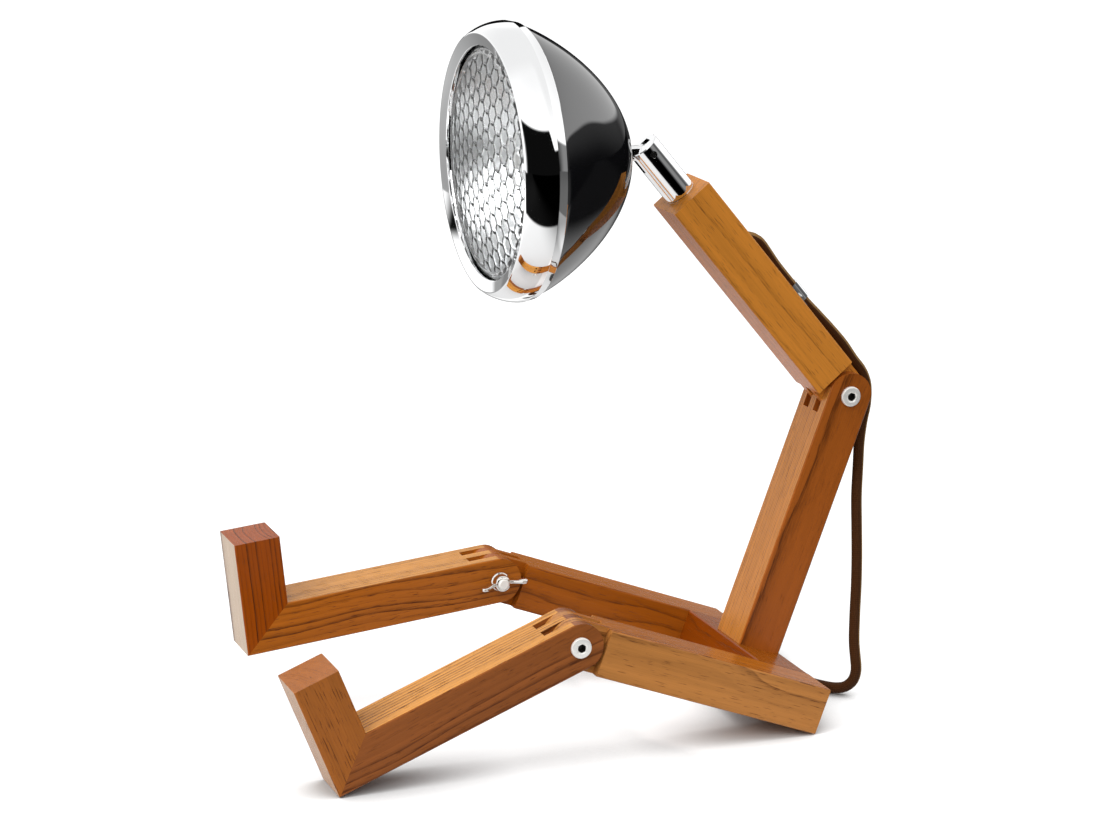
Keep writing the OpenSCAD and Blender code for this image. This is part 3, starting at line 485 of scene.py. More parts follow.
class HandlingMarks(Effect):
    """Faint smudges and fine wear on metal and plastic."""

    NAME = "handling_marks"
    TAKES = (
        ("Vector", "Vector", None),
        ("Roughness", "Float", 0.1),
        ("Spread", "Float", 0.05),
        ("Grain", "Float", 900.0),
        ("Colour", "Color", (0.8, 0.8, 0.8, 1)),
        ("Mottle", "Float", 0.05),
    )

    def fill(self, graph: Graph, given: Outputs) -> Sequence[Socket]:
        """Makes the clouds of smudges and the fine grain.

        Args:
            graph: The group's graph.
            given: The sockets of the colour and sizes.

        Returns:
            The sockets of the colour, roughness and height.
        """
        cloud = graph.noise(graph.stretched(given["Vector"], (38.0, 38.0, 38.0)), detail=3.0)
        grain = graph.add("TexNoise", Vector=given["Vector"], Scale=given["Grain"], Detail=1.0).outputs["Fac"]
        rough = graph.math("MULTIPLY_ADD", graph.minus(cloud, 0.5), given["Spread"], given["Roughness"])
        shift = graph.times(graph.minus(cloud, 0.5), given["Mottle"])
        colour = graph.shaded(given["Colour"], graph.plus(shift, 1.0))
        return colour, graph.math("MAXIMUM", rough, 0.005), grain


# ================= finishes =================


def started(name: str) -> tuple[Material, Graph, Node]:
    """A new material with a Principled BSDF.

    Args:
        name: The material's name.

    Returns:
        The material, its graph and the Principled BSDF.
    """
    material = bpy.data.materials.new(name)
    material.use_nodes = True
    graph = Graph(material.node_tree)
    shader = material.node_tree.nodes["Principled BSDF"]
    return material, graph, shader


class GrainAlong(Enum):
    """Which axis of a stick's frame its grain follows."""

    X = "x"
    Y = "y"
    Z = "z"


@dataclass(frozen=True)
class OiledWood:
    """One stick's wood: its tone, rings and place, so that the grain follows the stick."""

    name: str
    place: Placement
    along: GrainAlong
    early: Point
    # face and face_z: painted light and sheen, a tone for the face above that height as light falls on it
    face: Point
    ring_width: float
    heart: tuple[float, float]
    wander: float
    line_strength: float
    streaks: float
    seed: float
    pores: float = 0.5
    face_z: float = 12.5
    late: Point = (0.070, 0.016, 0.002)

    def turn(self) -> Euler:
        """Finds the turn that lays the pattern's X along the grain.

        Returns:
            The turn, about the row frame's axes.
        """
        pitch = math.radians(self.place.pitch)
        if self.along is GrainAlong.X:
            return Euler((0.0, pitch, 0.0))
        if self.along is GrainAlong.Z:
            return Euler((0.0, pitch - math.pi / 2, 0.0))
        return Euler((pitch, 0.0, math.pi / 2))

    def material(self) -> Material:
        """Builds the stick's material.

        Returns:
            The material.
        """
        material, graph, shader = started(self.name)
        mapping = graph.tree.nodes.new("ShaderNodeMapping")
        mapping.vector_type = "TEXTURE"
        mapping.inputs["Location"].default_value = Vector(self.place.origin) * MM
        mapping.inputs["Rotation"].default_value = self.turn()
        graph.put(graph.add("TexCoord").outputs["Object"], mapping.inputs["Vector"])
        tones = [(*self.early, 1), (*self.late, 1), self.ring_width, *self.heart, self.wander, self.line_strength]
        tones += [self.streaks, self.pores, (*self.face, 1), self.face_z, self.seed]
        figure = WoodFigure().placed(graph, mapping.outputs[0], tones)
        bump = graph.add("Bump", Strength=0.25, Distance=0.0002, Height=figure["Height"])
        graph.feed(shader, Base_Color=figure["Color"], Roughness=graph.plus(figure["Roughness"], 0.2))
        graph.feed(shader, Normal=bump.outputs[0], IOR=1.45, Specular_IOR_Level=0.18)
        return material


@dataclass(frozen=True)
class Finish:
    """A metal, lacquer, plastic or rubber with faint marks."""

    name: str
    colour: Point
    metallic: float = 0.0
    roughness: float = 0.3
    spread: float = 0.05
    grain: float = 900.0
    mottle: float = 0.06
    bump: float = 0.0
    ior: float = 1.5
    transmission: float = 0.0
    # painted shade: marked faces are painted near-black, for the shade deep in a recess
    painted_socket_shade: bool = False

    def material(self) -> Material:
        """Builds the finish, or gives the one already built.

        Returns:
            The material.
        """
        found = bpy.data.materials.get(self.name)
        if found:
            return found
        material, graph, shader = started(self.name)
        place = graph.add("TexCoord").outputs["Object"]
        faint = [self.roughness, self.spread, self.grain, (*self.colour, 1), self.mottle]
        marks = HandlingMarks().placed(graph, place, faint)
        colour = marks["Color"]
        # painted shade: faces marked in the mesh turn near-black, for the shade deep in a bolt's socket
        if self.painted_socket_shade:
            held = graph.add("Attribute")
            held.attribute_name = "painted_socket_shade"
            colour = graph.mix(held.outputs["Fac"], colour, (0.02, 0.018, 0.015, 1))
        if self.bump > 0:
            bump = graph.add("Bump", Strength=self.bump, Distance=0.0001, Height=marks["Height"])
            graph.feed(shader, Normal=bump.outputs[0])
        graph.feed(shader, Base_Color=colour, Roughness=marks["Roughness"], Metallic=self.metallic)
        graph.feed(shader, IOR=self.ior, Transmission_Weight=self.transmission)
        return material


CHROME = Finish("polished_chrome", (0.93, 0.935, 0.94), 1.0, 0.035, 0.02, mottle=0.02)
NICKEL = Finish("bright_nickel", (0.84, 0.82, 0.78), 1.0, 0.16, 0.08, mottle=0.05, bump=0.05)
ZINC = Finish("zinc_screws", (0.62, 0.62, 0.60), 1.0, 0.32, 0.12, mottle=0.1, bump=0.1)
LACQUER = Finish("black_lacquer", (0.006, 0.006, 0.007), 0.0, 0.035, 0.015, ior=2.3, mottle=0.3)
BRIGHT_ALUMINIUM = Finish("bright_aluminium", (0.88, 0.89, 0.90), 1.0, 0.28, 0.05, mottle=0.03)
FROSTED = Finish("frosted_bulb", (0.93, 0.92, 0.90), 0.0, 0.35, 0.1, ior=1.45, transmission=0.6)
SEAL_RUBBER = Finish("seal_rubber", (0.02, 0.02, 0.02), 0.0, 0.6, 0.15, bump=0.2, mottle=0.3)
HOLDER_PLASTIC = Finish("holder_plastic", (0.03, 0.03, 0.03), 0.0, 0.42, 0.1, bump=0.15, mottle=0.3)
SWITCH_PLASTIC = Finish("switch_plastic", (0.016, 0.015, 0.015), 0.0, 0.3, 0.1, 2200.0, 0.3, 0.2)
LEAD_SHEATH = Finish("lead_sheath", (0.03, 0.03, 0.03), 0.0, 0.45, 0.1, bump=0.1, mottle=0.3)
BRASS = Finish("brass_contacts", (0.71, 0.50, 0.20), 1.0, 0.28, 0.12, mottle=0.15)
STRAP = Finish("woven_strap", (0.02, 0.018, 0.016), 0.0, 0.85, 0.1, 1400.0, 0.4, 0.5)
DOWEL = Finish("turned_dowel", (0.50, 0.32, 0.16), 0.0, 0.6, 0.15, 500.0, 0.3, 0.3)
# the bolts' hex sockets are painted near-black, as painted shade
BOLT_NICKEL = Finish("satin_nickel", (0.95, 0.94, 0.90), 0.45, 0.3, 0.06, mottle=0.04, bump=0.03, painted_socket_shade=True)


@dataclass(frozen=True)
class PressedGlass:
    """The lens's clear glass, a little greyer along the seams that its mesh marks."""

    name: str = "pressed_glass"
    clear: Point = (0.98, 0.985, 0.985)
    seam: Point = (0.5, 0.52, 0.53)

    def material(self) -> Material:
        """Builds the glass.

        Returns:
            The material.
        """
        material, graph, shader = started(self.name)
        mark = graph.add("Attribute")
        mark.attribute_name = "seam"
        cloud = graph.noise(graph.stretched(graph.add("TexCoord").outputs["Object"], (90.0, 90.0, 90.0)))
        depth = graph.math("MULTIPLY", mark.outputs["Fac"], graph.plus(cloud, 0.35), clamp=True)
        colour = graph.mix(depth, (*self.clear, 1), (*self.seam, 1))
        graph.feed(shader, Base_Color=colour, Roughness=graph.math("MULTIPLY_ADD", depth, 0.1, 0.02))
        graph.feed(shader, IOR=1.5, Transmission_Weight=1.0)
        return material


@dataclass(frozen=True)
class Braid:
    """The cord's textile braid, on the piece's own UV map: u round it, v along it."""

    name: str = "cord_braid"
    dark: Point = (0.024, 0.007, 0.001)
    light: Point = (0.072, 0.023, 0.004)
    # painted light: a tan stripe at one place round the cord, for the light on its lit side
    painted_lit_side: Point = (0.30, 0.165, 0.055)
    painted_lit_side_at: float = 0.33
    strands: float = 9.0

    def material(self) -> Material:
        """Builds the braid, or gives the one already built.

        Returns:
            The material.
        """
        found = bpy.data.materials.get(self.name)
        if found:
            return found
        material, graph, shader = started(self.name)
        uv = graph.add("UVMap")
        uv.uv_map = "UVMap"
        parts = graph.add("SeparateXYZ", Vector=uv.outputs[0]).outputs
        turn = 2 * math.pi * self.strands
        u = graph.times(parts["X"], turn)
        v = graph.times(parts["Y"], turn)
        one = graph.math("SINE", graph.plus(u, v))
        two = graph.math("SINE", graph.minus(u, v))
        weave = graph.math("MULTIPLY_ADD", graph.times(one, two), 0.5, 0.5)
        thread = graph.noise(graph.stretched(uv.outputs[0], (60.0, 60.0, 1.0)), detail=2.0)
        shade = graph.math("MULTIPLY_ADD", thread, 0.5, graph.times(weave, 0.5))
        colour = graph.mix(shade, (*self.dark, 1), (*self.light, 1))
        # painted light: the tan stripe of the cord's lit side
        from_painted_lit_side = graph.math("ABSOLUTE", graph.minus(parts["X"], self.painted_lit_side_at))
        colour = graph.mix(graph.span(from_painted_lit_side, 0.07, 0.11, 0.85, 0.0), colour, (*self.painted_lit_side, 1))
        bump = graph.add("Bump", Strength=0.7, Distance=0.0003, Height=weave)
        graph.feed(shader, Base_Color=colour, Roughness=0.75, Specular_IOR_Level=0.2, Normal=bump.outputs[0])
        graph.feed(shader, Sheen_Weight=0.08, Sheen_Roughness=0.4, Sheen_Tint=(0.75, 0.55, 0.38, 1))
        return material


# ================= pieces =================


def settled(bm: BMesh, name: str) -> bpy.types.Mesh:
    """Makes a bmesh a mesh, and frees it.

    Args:
        bm: The bmesh.
        name: The mesh's name.

    Returns:
        The mesh.
    """
    mesh = bpy.data.meshes.new(name)
    bm.to_mesh(mesh)
    bm.free()
    return mesh


def finished(
    bm: BMesh,
    name: str,
    place: Matrix,
    body: str,
    material: Material,
    nodes: Sequence[str] = (),
    sharp: float = 32.0,
) -> Object:
    """Makes a bmesh a piece of the lamp, with its place in its mesh.

    Args:
        bm: The mesh, in millimetres in its own frame. It is freed.
        name: The piece's name.
        place: From the piece's frame to the row frame.
        body: The CAD body that it rides on; empty if it rides on none.
        material: Its finish.
        nodes: The CAD nodes that it stands for.
        sharp: Edges with a wider angle than this stay sharp, in degrees.

    Returns:
        The piece.
    """
    bmesh.ops.remove_doubles(bm, verts=bm.verts[:], dist=1e-4)
    bmesh.ops.recalc_face_normals(bm, faces=bm.faces[:])
    bmesh.ops.transform(bm, matrix=place, verts=bm.verts[:])
    if place.is_negative:
        bmesh.ops.reverse_faces(bm, faces=bm.faces[:])
    mesh = settled(bm, name)
    mesh.shade_smooth()
    mesh.set_sharp_from_angle(angle=math.radians(sharp))
    mesh.materials.append(material)
    piece = shown(name, mesh)
    if nodes:
        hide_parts(*nodes)
    if body:
        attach(piece, body)
    LOG.info("%s: %d faces, on %s", name, len(mesh.polygons), body)
    return piece


def spun(outline: Iterable[tuple[float, float]], steps: int, closed: bool = True) -> BMesh:
    """Turns an outline of (radius, distance along +X) about X.

    Args:
        outline: The outline's corners, in millimetres.
        steps: How many steps the full turn has.
        closed: Whether the last corner joins the first.

    Returns:
        The turned mesh.
    """
    bm = bmesh.new()
    corners = [bm.verts.new((along, 0.0, radius)) for radius, along in outline]
    ends = corners[1:] + ([corners[0]] if closed else [])
    edges = [bm.edges.new(pair) for pair in zip(corners, ends)]
    bmesh.ops.spin(
        bm, geom=corners + edges, cent=(0, 0, 0), axis=(1, 0, 0), dvec=(0, 0, 0),
        angle=2 * math.pi, steps=steps, use_merge=True, use_duplicate=False,
    )
    bmesh.ops.remove_doubles(bm, verts=bm.verts[:], dist=1e-4)
    bmesh.ops.dissolve_degenerate(bm, edges=bm.edges[:], dist=1e-5)
    return bm


def thickened(bm: BMesh, way: Point) -> None:
    """Extrudes all of a flat mesh's faces.

    Args:
        bm: The mesh.
        way: How far they go along each axis.
    """
    grown = bmesh.ops.extrude_face_region(bm, geom=bm.faces[:])["geom"]
    moved = [v for v in grown if isinstance(v, bmesh.types.BMVert)]
    bmesh.ops.translate(bm, verts=moved, vec=way)


def rounded(bm: BMesh, edges: Sequence[bmesh.types.BMEdge], radius: float, steps: int, **limits: bool) -> None:
    """Rounds some of a mesh's edges.

    Args:
        bm: The mesh.
        edges: The edges.
        radius: How far in the rounding starts.
        steps: How many facets it has.
        **limits: The bevel's other choices.
    """
    bmesh.ops.bevel(bm, geom=edges, offset=radius, segments=steps, profile=0.5, affect="EDGES", material=-1, **limits)


def joined(bm: BMesh, part: BMesh) -> None:
    """Adds a part's faces to a mesh, and frees the part.

    Args:
        bm: The mesh.
        part: The part.
    """
    held = settled(part, "part")
    bm.from_mesh(held)
    bpy.data.meshes.remove(held)


def dressed(material: Material, *names: str) -> None:
    """Gives CAD nodes a finish in place of their plain one.

    Args:
        material: The finish.
        *names: The nodes' names.
    """
    for name in names:
        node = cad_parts[name]
        node.data.materials.clear()
        node.data.materials.append(material)
        LOG.info("%s: %s", name, material.name)


def arc(centre: tuple[float, float], radius: float, first: float, last: float, steps: int) -> Outline:
    """Corners of an arc in an outline, from one angle to another in degrees."""
    turns = [math.radians(first + (last - first) * i / steps) for i in range(steps + 1)]
    return [(centre[0] + radius * math.cos(a), centre[1] + radius * math.sin(a)) for a in turns]


# ================= cord =================


@dataclass
class TextileCord:
    """The textile cord: down the torso's back, over the waist, to its switch, coil and plug."""

    diameter: float = 6.0
    clearance: float = 0.1
    sides: int = 14
    step: float = 2.2
    switch_at: Point = (21.0, 64.0, 0.0)
    switch_turn: float = 96.0
    switch_len: float = 52.0
    switch_split: float = 7.0
    cord_in_switch: float = 6.0
    coil_at: tuple[float, float] = (-35.0, 124.0)
    coil_r: float = 18.5
    coil_turns: float = 3.5
    coil_gap: float = 0.6
    coil_in_angle: float = 45.0
    coil_steps: int = 24
    plug_lead_len: float = 34.0
    plug_t: float = 13.4
    tie_w: float = 9.0
    tie_sheet: float = 0.7
    back_route: tuple[Point, ...] = (
        (0, 0, 126.5), (0.3, 0, 123.4), (1.1, 0, 120.8), (2.4, 0, 118.6), (5, 0, 114.9), (9, 0, 109.1),
        (13.3, 0, 103.2), (15.3, 0, 100.4), (16.4, 0, 97.3), (16.6, 0, 93.9), (16.1, 0, 87), (15.6, 0, 80),
        (15.6, 0, 66), (15.6, 0, 54), (16.5, 0, 42), (17.3, 0, 30), (17.6, 0, 19), (16.8, 0, 8),
    )
    drop_route: tuple[Point, ...] = (
        (59.8, 0, 175.6), (62, 0, 171.3), (63.1, -0.5, 166.6), (62.6, -1.5, 157), (60, -3, 148), (57.5, -5, 137),
        (55.5, -8, 124), (53.5, -11, 108), (52.5, -14, 92), (51.5, -17, 76), (50, -20, 60), (48, -23, 44),
        (46.5, -26, 30), (46.3, -28.5, 21), (46.3, -29.5, 15.6), (45.2, -28.3, 9.3), (42.1, -24.9, 4.8),
        (37.9, -20.2, 3.1), (32, -13, 3.1), (28, -5, 3.1), (25.6, 4, 3.1), (24.6, 13, 3.1), (24.5, 22, 4.6),
        (24.3, 31, 6.6),
    )
    link_route: tuple[Point, ...] = (
        (17.6, 99, 6.3), (16.4, 108.5, 4.3), (14.2, 118, 3.1), (10.9, 128, 3.1), (5.8, 138.5, 3.1),
    )

    def off_edge(self, point: Sequence[float]) -> Vector:
        """A point measured from the pelvis's rear edge, in the row frame in millimetres."""
        return Vector(point) + Vector((FIGURE.stand_x, 0, 0))

    def in_switch(self, along: float) -> Vector:
        """A point on the cord's line through the switch.

        Args:
            along: How far it is from the cord's way in.

        Returns:
            The point, in millimetres.
        """
        turn = math.radians(self.switch_turn)
        axis = Vector((math.cos(turn), math.sin(turn), 0))
        rise = Vector((0, 0, self.switch_split))
        return self.off_edge(self.switch_at) + (along - self.switch_len / 2) * axis + rise

    def coil_points(self) -> list[Vector]:
        """Lays the put-away coil in two spiral layers, in on the floor and out on top.

        Returns:
            The points along it.
        """
        lay, step = self.diameter / 2 + self.clearance, self.diameter + self.coil_gap
        centre = self.off_edge((*self.coil_at, 0))
        points = []
        for i in range(int(2 * self.coil_turns * self.coil_steps) + 1):
            s = -self.coil_turns + i / self.coil_steps
            angle = math.radians(self.coil_in_angle + 360 * (s + self.coil_turns))
            radius = self.coil_r + step * abs(s)
            height = lay + step * max(0.0, min(1.0, 2 * s + 0.5))
            points.append(centre + Vector((radius * math.cos(angle), radius * math.sin(angle), height)))
        return points

    def to_switch(self) -> list[Vector]:
        """Lays the route from the grip in the torso to the switch.

        Returns:
            The points along it, in millimetres.
        """
        torso = FIGURE.torso().matrix()
        back = [torso @ Vector(p) / MM for p in self.back_route]
        drop = [self.off_edge(p) for p in self.drop_route]
        return back + drop + [self.in_switch(0), self.in_switch(self.cord_in_switch)]

    def from_switch(self) -> list[Vector]:
        """Lays the route from the switch through the coil to the plug.

        Returns:
            The points along it, in millimetres.
        """
        start = [self.in_switch(self.switch_len - self.cord_in_switch), self.in_switch(self.switch_len)]
        link = [self.off_edge(p) for p in self.link_route]
        coil = self.coil_points()
        into = coil[1] - coil[0]
        into.z = 0
        out = coil[-1] - coil[-2]
        out.z = 0
        out.normalize()
        leave = coil[-1] + self.diameter * out
        sink = leave.z - self.plug_t / 2
        lead = [
            leave + along * self.plug_lead_len * out - Vector((0, 0, down * sink))
            for along, down in ((0, 0), (0.3, 0), (0.55, 0.3), (0.8, 0.85), (1, 1))
        ]
        return start + link + [coil[0] - self.diameter * into.normalized()] + coil + lead

    def smoothed(self, points: Sequence[Vector]) -> list[Vector]:
        """Draws a smooth curve through a route's points.

        Args:
            points: The route.

        Returns:
            Points along the curve, with even steps.
        """
        fine: list[Vector] = []
        padded = [2 * points[0] - points[1], *points, 2 * points[-1] - points[-2]]
        for a, b, c, d in zip(padded, padded[1:], padded[2:], padded[3:]):
            count = max(1, round((c - b).length / self.step))
            gaps = [max(1e-6, (q - p).length) ** 0.5 for p, q in ((a, b), (b, c), (c, d))]
            one = (b - a) / gaps[0] - (c - a) / (gaps[0] + gaps[1]) + (c - b) / gaps[1]
            two = (c - b) / gaps[1] - (d - b) / (gaps[1] + gaps[2]) + (d - c) / gaps[2]
            one, two = one * gaps[1], two * gaps[1]
            for i in range(count):
                t = i / count
                fine.append(
                    (2 * t**3 - 3 * t**2 + 1) * b + (t**3 - 2 * t**2 + t) * one
                    + (3 * t**2 - 2 * t**3) * c + (t**3 - t**2) * two
                )
        return fine + [points[-1]]

    def tube(self, path: Sequence[Vector], name: str, body: str, nodes: Sequence[str]) -> Object:
        """Sweeps the cord's round section along a path, with a UV map for its braid.

        Args:
            path: The centreline, in millimetres.
            name: The piece's name.
            body: The CAD body that it rides on, if it rides on one.
            nodes: The CAD nodes that it stands for.

        Returns:
            The cord, as a mesh in the row frame.
        """
        bm = bmesh.new()
        layer = bm.loops.layers.uv.new("UVMap")
        radius, side = self.diameter / 2, Vector((0, 1, 0))
        rings, lengths, run = [], [], 0.0
        for i, at in enumerate(path):
            ahead = path[min(i + 1, len(path) - 1)] - path[max(i - 1, 0)]
            way = ahead.normalized()
            side = (side - way * side.dot(way)).normalized()
            over = way.cross(side)
            run += (at - path[i - 1]).length if i else 0.0
            lengths.append(run / (math.pi * self.diameter))
            turns = [2 * math.pi * k / self.sides for k in range(self.sides)]
            rings.append([bm.verts.new(at + radius * (math.cos(a) * side + math.sin(a) * over)) for a in turns])
        for i, (one, two) in enumerate(zip(rings, rings[1:])):
            for k in range(self.sides):
                nxt = (k + 1) % self.sides
                face = bm.faces.new((one[k], one[nxt], two[nxt], two[k]))
                for loop, (u, v) in zip(face.loops, ((k, i), (k + 1, i), (k + 1, i + 1), (k, i + 1))):
                    loop[layer].uv = (u / self.sides, lengths[v])
        bm.faces.new(reversed(rings[0]))
        bm.faces.new(rings[-1])
        return finished(bm, name, Matrix.Scale(MM, 4), body, Braid().material(), nodes, 50.0)

    def tie(self) -> None:
        """Builds the strap that holds the coil's turns together, flat under the coil."""
        near, far = self.coil_r - self.diameter / 2 - 0.3, self.coil_r + 3.0 * (self.diameter + self.coil_gap) + 3.4
        low, top = self.clearance, 2 * self.diameter + self.clearance + self.coil_gap + 0.1
        bend, sheet = 2.6, self.tie_sheet
        bm = bmesh.new()
        loops = []
        for grow in (0.0, 1.0):
            side, base, lid = grow * sheet, low - grow * 0.09, top + grow * sheet
            corners = [(near - side, base), (far + side, base), (far + side, lid), (near - side, lid)]
            loop = []
            for (r, z), way in zip(corners, ((1, 1), (-1, 1), (-1, -1), (1, -1))):
                reach = bend if z > bend else 0.6
                out, up = way[0] * reach, way[1] * reach
                ends = [(r, z + up), (r + out * 0.3, z + up * 0.3), (r + out, z)]
                loop += ends if way[0] * way[1] > 0 else ends[::-1]
            loops.append([bm.verts.new((r, 0, z)) for r, z in loop])
        for i, (a, b) in enumerate(zip(*loops)):
            bm.faces.new((loops[0][i - 1], a, b, loops[1][i - 1]))
        thickened(bm, (0, self.tie_w, 0))
        bmesh.ops.translate(bm, verts=bm.verts[:], vec=(0, -self.tie_w / 2, 0))
        turn = turning(self.coil_in_angle + 180, "Z")
        place = Matrix.Scale(MM, 4) @ Matrix.Translation(self.off_edge((*self.coil_at, 0))) @ turn
        finished(bm, "coil_tie", place, "seat_and_spine", STRAP.material(), sharp=40.0)

    def build(self) -> None:
        self.tie()
        first, second = self.smoothed(self.to_switch()), self.smoothed(self.from_switch())
        upper = self.tube(first, "cord_to_switch", "", ["cord_back", "cord_drop"])
        lower = self.tube(second, "cord_to_plug", "seat_and_spine", ["cord_link", "cord_coil", "plug_lead"])
        torso = FIGURE.torso().matrix()
        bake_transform(upper)


# ================= wooden figure =================


@dataclass
class WoodenFigure:
    """The sticks, with each one's own grain and tone."""

    tan: Point = (0.44, 0.178, 0.042)
    golden: Point = (0.62, 0.230, 0.032)
    # painted light: the shins' top faces, lighter where the light falls on them
    shin_top_painted_light: Point = (0.54, 0.230, 0.040)
    amber: Point = (0.33, 0.085, 0.006)
    ochre: Point = (0.37, 0.104, 0.010)
    russet: Point = (0.35, 0.091, 0.011)
    chestnut: Point = (0.28, 0.055, 0.002)
    umber: Point = (0.245, 0.073, 0.015)
    walnut: Point = (0.21, 0.040, 0.0015)
    rust: Point = (0.31, 0.096, 0.014)
    # painted light and sheen: each tone below colours one face of a stick, its top or front, as light and sheen fall on
    # it; the feet's fronts are pale with painted sheen
    top: Point = (0.46, 0.140, 0.012)
    pelvis_top_painted_light: Point = (0.31, 0.082, 0.006)
    spine_front_painted_light: Point = (0.51, 0.195, 0.038)
    torso_top_painted_light: Point = (0.68, 0.23, 0.05)
    left_foot_front_painted_sheen: Point = (0.46, 0.25, 0.12)
    right_foot_front_painted_sheen: Point = (0.51, 0.38, 0.27)

    def finishes(self) -> dict[str, OiledWood]:
        """Lists the sticks' finishes.

        Returns:
            Each wooden node's finish, by the node's name.
        """
        left, right, top = FIGURE.knee(-1), FIGURE.knee(1), self.top
        left_hip = left.moved((0, 0, 0), FIGURE.left_knee_bend)
        right_hip = right.moved((0, 0, 0), FIGURE.right_knee_bend)
        x, y, z = GrainAlong.X, GrainAlong.Y, GrainAlong.Z
        # place, grain, tone, painted light and sheen tone of one face, ring width, heart, wander, line strength,
        # streaks, seed, pores, height of that face
        sticks = {
            "left_thigh": (left_hip, x, self.tan, top, 4.2, (-90.0, -30.0), 4.0, 1.15, 0.6, 1.0, 0.8),
            "right_thigh": (right_hip, x, self.amber, top, 2.6, (80.0, 30.0), 2.4, 0.7, 0.4, 2.0),
            "pelvis_block": (
                FIGURE.pelvis(), y, self.walnut, self.pelvis_top_painted_light, 2.2, (60.0, 12.0), 2.0, 0.5, 0.4, 3.0, 0.5, 25.0,
            ),
            "spine": (FIGURE.waist(), z, self.russet, self.spine_front_painted_light, 1.6, (-110.0, -4.0), 0.7, 1.4, 0.35, 11.0),
            "upper_torso": (FIGURE.torso(), z, self.golden, self.torso_top_painted_light, 3.6, (-70.0, -30.0), 2.2, 0.35, 0.4, 5.0),
            "left_shin": (left, x, self.umber, self.shin_top_painted_light, 3.0, (-70.0, 40.0), 3.4, 1.25, 0.55, 6.0, 0.85),
            "left_foot": (left, z, self.rust, self.left_foot_front_painted_sheen, 1.6, (-30.0, 200.0), 3.0, 0.3, 0.3, 7.0, 0.8, 143.5),
            "right_shin": (right, x, self.ochre, self.shin_top_painted_light, 2.2, (-80.0, 40.0), 3.0, 1.5, 0.5, 8.0, 0.85),
            "right_foot": (right, z, self.chestnut, self.right_foot_front_painted_sheen, 2.3, (0.0, 60.0), 1.2, 1.9, 0.35, 9.0, 0.5, 143.5),
        }
        return {node: OiledWood(node + "_wood", *stick) for node, stick in sticks.items()}

    def dress(self) -> None:
        """Gives each stick its wood, and the dowels and screws theirs."""
        for node, wood in self.finishes().items():
            dressed(wood.material(), node)
        dressed(DOWEL.material(), "pelvis_dowels", "left_foot_dowels", "right_foot_dowels")
        dressed(ZINC.material(), "spine_screws", "clip_screws", "switch_screws")


# ================= hinge hardware =================


